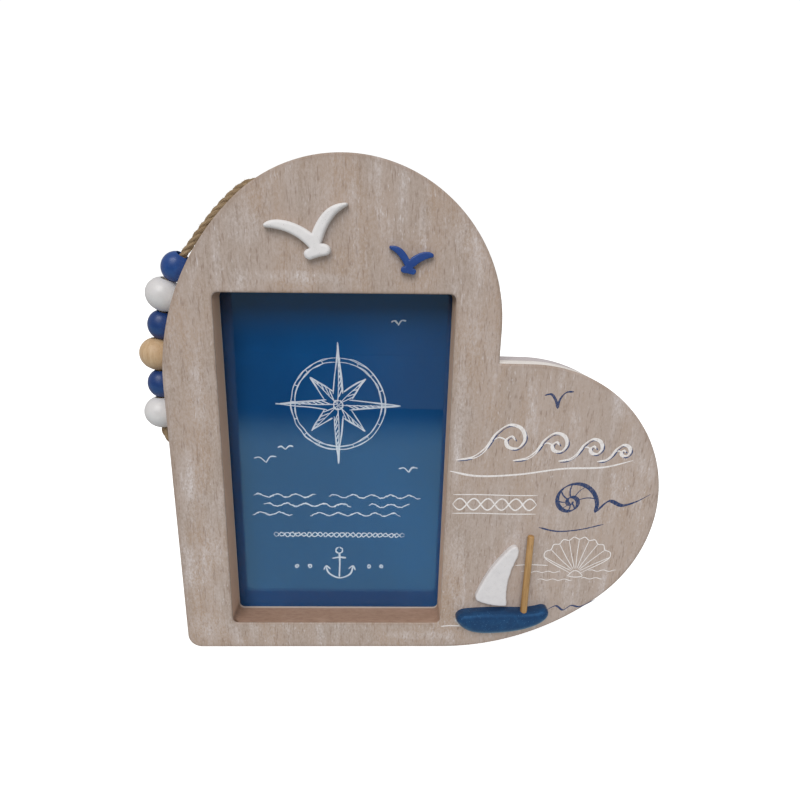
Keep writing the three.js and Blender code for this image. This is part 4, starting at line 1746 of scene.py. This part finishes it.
@dataclass
class FacePrint:
    """Running waves, a braid, two shells and a gull, printed on the right lobe."""

    waves: tuple[Flat, ...] = ((137.5, 16.5), (158, 13.0), (175, 10.5), (189, 8.0))
    base: float = 94.0
    curl: tuple[Flat, ...] = (
        (-1.1, -0.02), (-0.7, 0.06), (-0.35, 0.33), (-0.1, 0.72), (0.22, 0.94), (0.54, 0.84), (0.64, 0.55),
        (0.46, 0.32), (0.22, 0.36), (0.16, 0.54), (0.30, 0.64), (0.40, 0.54))
    shell_at: Flat = (171.0, 75.0)
    shell_radius: float = 12.5
    shell_wind: Flat = (0.21, 0.35)  # how fast it narrows, and where it starts
    fan_at: Flat = (177.0, 40.0)
    fan_radius: float = 17.0

    def build(self) -> None:
        """Draw the print in its two inks."""
        wood = LimedWood()
        shade = Print("face_print_shadow", Ink("navy_ink_thin", rgb(54, 72, 112), wood, 0.3), FRONT + 0.004)
        white = Print("face_print_white", Ink("white_ink", rgb(232, 228, 226), wood, 0.3), FRONT)
        navy = Print("face_print_navy", Ink("navy_ink", rgb(37, 57, 99), wood, 0.25), FRONT)
        for x, size in self.waves:
            crest = [(x + size * px, self.base + size * pz) for px, pz in self.curl]
            white.draw(crest, 0.5, 1.9)
            shade.draw([(px + 0.7, pz - 0.55) for px, pz in crest], 0.3, 1.3)
            white.draw([(x + size * (px * 0.6 - 0.16), self.base + size * (pz * 0.62 + 0.02))
                        for px, pz in self.curl[:6]], 0.4, 0.9)
        white.draw([(117, 88.6), (128, 86.6), (146, 87.4), (166, 90.4), (184, 91.4), (196, 94.6)], 0.5, 1.3)
        for phase in (0.0, 0.5):
            white.draw(wave(119, 156, 73.4, 2.7, 12.3, phase), 0.75)
        for edge in (69.0, 77.8):
            white.draw([(119, edge), (130, edge + 0.15), (144, edge - 0.1), (156, edge)], 0.5)
        self.shell(navy)
        navy.draw([(154.6, 122.4), (157.4, 122.9), (159.6, 120.2), (160.6, 116.9)], 0.5, 1.3)
        navy.draw([(160.6, 116.9), (161.2, 120.8), (163.6, 123.8), (166.7, 124.2)], 0.5, 1.3)
        self.fan(white)
        navy.draw([(166, 20.6), (170, 22.6), (173.4, 20.4), (177, 22.8), (181, 22.2), (188, 26)], 0.4, 1.2)
        white.draw([(116.7, 11.4), (121, 11.8), (128, 11.5)], 0.6)
        for layer in (shade, white, navy):
            layer.build()

    def shell(self, navy: Print) -> None:
        """Draw a coiled shell with a wave that runs out of it.

        Args:
            navy: the print that it is drawn in.
        """
        wind, start = self.shell_wind

        def coil(turn: float, share: float) -> Flat:
            """Give a point at a turn along the coil and a share of its radius."""
            return polar(self.shell_at, self.shell_radius * share, turn - start)

        turns = [coil(a, math.exp(-wind * a)) for a in np.linspace(0, 13.2, 60)]
        navy.draw([(206, 79), (200, 75.4), (194, 73.6), (188, 75.6), *turns], 0.6, 2.3)
        for a in np.linspace(0.5, 5.6, 8):
            outer, inner = math.exp(-wind * a), math.exp(-wind * (a + TURN))
            navy.draw([coil(a, outer), coil(a + 0.13, (outer + inner) / 2), coil(a + 0.16, inner)], 0.35, 0.8)
        navy.draw([(158, 62.6), (166, 60.8), (176, 61.6), (187, 64.4)], 0.4, 1.0)

    def fan(self, white: Print) -> None:
        """Draw a fan shell on the sand in thin lines.

        Args:
            white: the print that it is drawn in.
        """
        (x, z), size = self.fan_at, self.fan_radius
        ribs = np.linspace(math.radians(28), math.radians(152), 9)
        for a in ribs:
            white.draw([polar((x, z), 2.2, a), polar((x, z), size * 0.55, a + 0.02),
                        polar((x, z), size, a)], 0.4)
        rim = [(x + 2, z - 0.4)]
        for a, b in zip(ribs, ribs[1:]):
            rim += [polar((x, z), size, a), polar((x, z), size * 1.07, (a + b) / 2)]
        white.draw([*rim, polar((x, z), size, ribs[-1]), (x - 2, z - 0.4)], 0.5)
        white.draw([(x - 3.4, z - 1.6), (x - 1, z + 0.9), (x + 1, z + 0.9), (x + 3.4, z - 1.6), (x, z - 2.2),
                    (x - 3.4, z - 1.6)], 0.5)
        white.draw([(149, 43.6), (155, 44), (164, 43.7)], 0.5)
        for start, end, level in ((152, 170, 40.4), (183, 196, 41.2), (160, 176, 36.4), (180, 190, 37.2)):
            white.draw(wave(start, end, level, 0.35, 5.5), 0.4)


class LoosePen(Print):
    """A pen in a loose hand, with its own random draws."""

    def __init__(self, name: str, ink: Ink, depth: float, step: float, seed: int) -> None:
        """Start a print in a loose hand.

        Args:
            name: the piece's name.
            ink: its ink.
            depth: the plane's depth, in millimetres.
            step: about how far apart the lines' points are.
            seed: the seed of its draws.
        """
        super().__init__(name, ink, depth, step)
        self.hand = random.Random(seed)
        self.slip = 0.28  # how far the hand strays

    def sketch(self, points: Sequence[Flat], width: float, times: int = 2) -> None:
        """Draw a line of about a width, a number of times over."""
        for _ in range(times):
            self.draw(strayed(points, self.hand, self.slip), width * self.hand.uniform(0.8, 1.15))

    def rule(self, start: Flat, end: Flat, width: float, parts: int = 3, times: int = 2) -> None:
        """Draw a straight line in a number of parts, a number of times over."""
        self.sketch([between(start, end, i / parts) for i in range(parts + 1)], width, times)


@dataclass
class CardPrint:
    """A compass star over the sea, gulls, a rope and a small anchor, sketched on the card."""

    star_at: Flat = (68.5, 113.0)
    star_radius: float = 27.0
    star_rings: Flat = (0.7, 0.76)  # shares of the radius
    anchor_at: Flat = (68.5, 35.0)
    gulls: tuple[Spot, ...] = ((36, 86, 5), (45, 92, 3.4), (100, 82, 4.4), (94, 148, 3.2))
    waves: tuple[Spot, ...] = (  # height, start and end
        (70, 30, 58), (70, 64, 106), (65.5, 34, 74), (65.5, 82, 101), (61, 29, 47), (61, 55, 97))
    depth: float = 4.88
    seed: int = 7

    def build(self) -> None:
        """Draw the card's picture."""
        pen = LoosePen("card_print", Ink("card_ink", rgb(199, 195, 200)), self.depth, 0.7, self.seed)
        self.star(pen)
        for x, z, size in self.gulls:
            pen.sketch([(x - size, z + size * 0.35), (x - size * 0.5, z + size * 0.5), (x, z)], 0.5)
            pen.sketch([(x, z), (x + size * 0.45, z + size * 0.55), (x + size, z + size * 0.5)], 0.5)
        for level, start, end in self.waves:
            pen.sketch(wave(start, end, level, 0.8, 8.5, pen.hand.random()), 0.45)
        for phase in (0.0, 0.5):
            pen.sketch(wave(38, 99, 50.5, 1.0, 5.1, phase), 0.5, 1)
        self.anchor(pen)
        pen.build(0.05)

    def star(self, pen: LoosePen) -> None:
        """Draw the compass star.

        Args:
            pen: the pen.
        """
        middle, size = self.star_at, self.star_radius
        inner, outer = (size * share for share in self.star_rings)
        for radius in (inner, outer):
            pen.sketch(clock(middle, radius, 40), 0.42)
        for i in range(16):
            turn = QUARTER - TURN * i / 16 - 0.05
            pen.rule(polar(middle, inner, turn), polar(middle, outer, turn), 0.4, 1, 1)
        for i in range(8):
            turn = QUARTER - TURN * i / 8
            reach, waist, hatches = (1.0, 0.2, 9) if i % 2 == 0 else (0.62, 0.24, 5)
            tip = polar(middle, size * reach, turn)
            left, right = (polar(middle, size * waist, turn + side * TURN / 16) for side in (1, -1))
            pen.rule(left, tip, 0.48)
            pen.rule(right, tip, 0.48)
            pen.rule(middle, tip, 0.42, 3, 1)
            for share in np.linspace(0.12, 0.9, hatches):
                pen.rule(between(middle, tip, share), between(right, tip, share), 0.5, 1, 1)
        pen.sketch(clock(middle, 2.0, 12), 0.45)

    def anchor(self, pen: LoosePen) -> None:
        """Draw the anchor between pairs of dots.

        Args:
            pen: the pen.
        """
        x, z = self.anchor_at
        pen.sketch([(x, z + 6), (x, z), (x, z - 7)], 0.7)
        pen.sketch([(x - 3.4, z + 3.4), (x, z + 3.6), (x + 3.4, z + 3.4)], 0.7)
        pen.sketch(clock((x, z + 7.5), 1.5, 10), 0.6)
        pen.sketch([(x - 6.4, z - 1.4), (x - 5, z - 5), (x, z - 7.4), (x + 5, z - 5),
                    (x + 6.4, z - 1.4)], 0.75)
        for side in (-1, 1):
            pen.sketch([(x + side * 7.4, z - 3), (x + side * 6.4, z - 1), (x + side * 4.4, z - 2.4)], 0.6)
            for away in (14, 20):
                dot = circle((x + side * away, z - 1), 0.7, 8)
                pen.sketch(dot + dot[:1], 0.6)


@dataclass
class Studio:
    """A white floor, soft daylight from above and a camera in front."""

    eye: Spot = (-16.315, -233.378, 170.429)
    pitch: float = 0.29414
    yaw: float = 0.04839
    roll: float = 0.0308
    lens: float = 25.0436
    shift: Flat = (-0.012636, 0.04772)
    ambient: float = 0.48
    sky: float = 1.05
    sun: float = 1.9
    sun_spread: float = 42.0
    sun_way: Spot = (0.18, 0.82, -0.72)
    glow: float = 0.6
    # the sheets' edges and heights above the floor, in metres
    floor_half: float = 6.0
    floor_drop: float = 0.0002
    side: float = 2.0
    paper_edge: float = -0.46
    paper_lift: float = 0.0003
    flag_fold: Flat = (-0.45, -0.9)
    flag_lift: float = 0.0004
    flag_top: float = 0.9

    def camera(self) -> None:
        """Set the camera."""
        base = Matrix(((1, 0, 0), (0, 0, -1), (0, 1, 0)))
        tilt, nod, turn = (Matrix.Rotation(angle, 3, axis) for angle, axis in (
            (self.roll, "Z"), (self.pitch, "X"), (-self.yaw, "Y")))
        right, down, ahead = tilt @ nod @ turn @ base
        look = Matrix((right, -Vector(down), -Vector(ahead))).transposed().to_4x4()
        data = bpy.data.cameras.new("camera")
        data.lens, data.sensor_width = self.lens, 36.0
        data.shift_x, data.shift_y = self.shift
        data.clip_start = 0.01
        camera = placed("camera", data)
        camera.matrix_world = Matrix.Translation(Vector(self.eye) * MM) @ look
        bpy.context.scene.camera = camera

    def build(self) -> None:
        """Set the floor and the light."""
        scene = bpy.context.scene
        scene.view_settings.view_transform = "Standard"
        wide, side, (fold, far) = self.floor_half, self.side, self.flag_fold
        floor = self.sheet("floor", self.level((-wide, wide), (-wide, wide), 0), self.pale(),
                           ("diffuse", "glossy", "transmission"))
        floor.location.z = -self.floor_drop
        flag = self.sheet("dark_flag", [*self.level((-side, side), (fold, far), self.flag_lift),
                                        (side, far, self.flag_top), (-side, far, self.flag_top)],
                          self.dim(), faces=((0, 1, 2, 3), (3, 2, 4, 5)))
        paper = self.sheet("blue_paper", self.level((-side, side), (0, self.paper_edge), self.paper_lift),
                           self.lit())
        light = bpy.data.lights.new("daylight", "SUN")
        light.energy, light.angle = self.sun, math.radians(self.sun_spread)
        lamp = placed("daylight", light)
        lamp.rotation_euler = Vector(self.sun_way).to_track_quat("-Z", "Y").to_euler()
        world = bpy.data.worlds.new("studio")
        world.use_nodes = True
        world.node_tree.nodes.clear()
        graph = Graph(world.node_tree)
        seen = graph.node("ShaderNodeLightPath", out="Is Camera Ray")
        sky = graph.node("ShaderNodeBackground", {}, {
            "Color": WHITE, "Strength": seen * (self.sky - self.ambient) + self.ambient})
        graph.node("ShaderNodeOutputWorld", {}, {"Surface": sky})
        scene.world = world

    def pale(self) -> bpy.types.Material:
        """Make the floor's finish: white paper that is lit through.

        Returns:
            The material.
        """
        paint = Paint("white_floor")
        tooth = paint.noise((0.02, 0.02, 0.02), 2.0)
        return paint.finish(paint.mix(tooth, (0.86, 0.86, 0.86, 1), (0.88, 0.88, 0.88, 1)), 0.9,
                            Specular_IOR_Level=0.0, Emission_Color=WHITE, Emission_Strength=self.glow)

    @staticmethod
    def lit() -> bpy.types.Material:
        """Make the paper's finish: pale blue, lit through and fading away from the frame.

        Returns:
            The material.
        """
        paint = Paint("pale_blue_paper")
        _, depth, _ = paint.axes()
        light = paint.mix(depth.ease(-440, -270), BLACK, (0.54, 0.86, 0.96, 1))
        return paint.finish(BLACK, 0.9, Specular_IOR_Level=0.0, Emission_Color=light, Emission_Strength=1.0)

    @staticmethod
    def dim() -> bpy.types.Material:
        """Make the flag's finish: dull cloth, with a little light on its right and high up.

        Returns:
            The material.
        """
        paint = Paint("dull_cloth")
        weave = paint.noise((0.3, 0.3, 0.3), 2.0)
        across, _, height = paint.axes()
        light = paint.mix(across.ease(-150, 30), BLACK, (0.2, 0.18, 0.13, 1))
        light = paint.mix(height.ease(15, 110), light, (0.2, 0.29, 0.38, 1))
        return paint.finish(paint.mix(weave, (0.008, 0.008, 0.01, 1), (0.014, 0.014, 0.016, 1)), 0.9,
                            Specular_IOR_Level=0.0, Emission_Color=light, Emission_Strength=1.0)

    @staticmethod
    def level(across: Flat, depth: Flat, z: float) -> list[Spot]:
        """Give a level sheet's corners, from its first depth to its second."""
        return [(across[i], depth[j], z) for i, j in ((0, 0), (1, 0), (1, 1), (0, 1))]

    @staticmethod
    def sheet(name: str, points: Sequence[Spot], finish: bpy.types.Material,
              unseen: Sequence[str] = ("camera", "diffuse", "shadow"),
              faces: Sequence[Sequence[int]] = ((0, 1, 2, 3),)) -> bpy.types.Object:
        """Make a stage piece.

        Args:
            name: its name.
            points: its corners, in metres.
            finish: its material.
            unseen: the kinds of ray that pass it by.
            faces: its faces.

        Returns:
            The object.
        """
        mesh = bpy.data.meshes.new(name)
        mesh.from_pydata(points, [], faces)
        mesh.materials.append(finish)
        made = placed(name, mesh)
        for ray in unseen:
            setattr(made, f"visible_{ray}", False)
        return made


def main() -> None:
    """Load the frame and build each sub-assembly in order."""
    logging.basicConfig(level=logging.INFO, format="%(message)s")
    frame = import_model()
    studio = Studio()
    studio.camera()
    BeadString().build(frame["joints"])
    HeartBlock().build()
    WindowLayers().build(frame["nodes"])
    Seaside().build()
    TurnButtons().build(frame["joints"])
    FacePrint().build()
    CardPrint().build()
    studio.build()


if __name__ == "__main__":
    main()
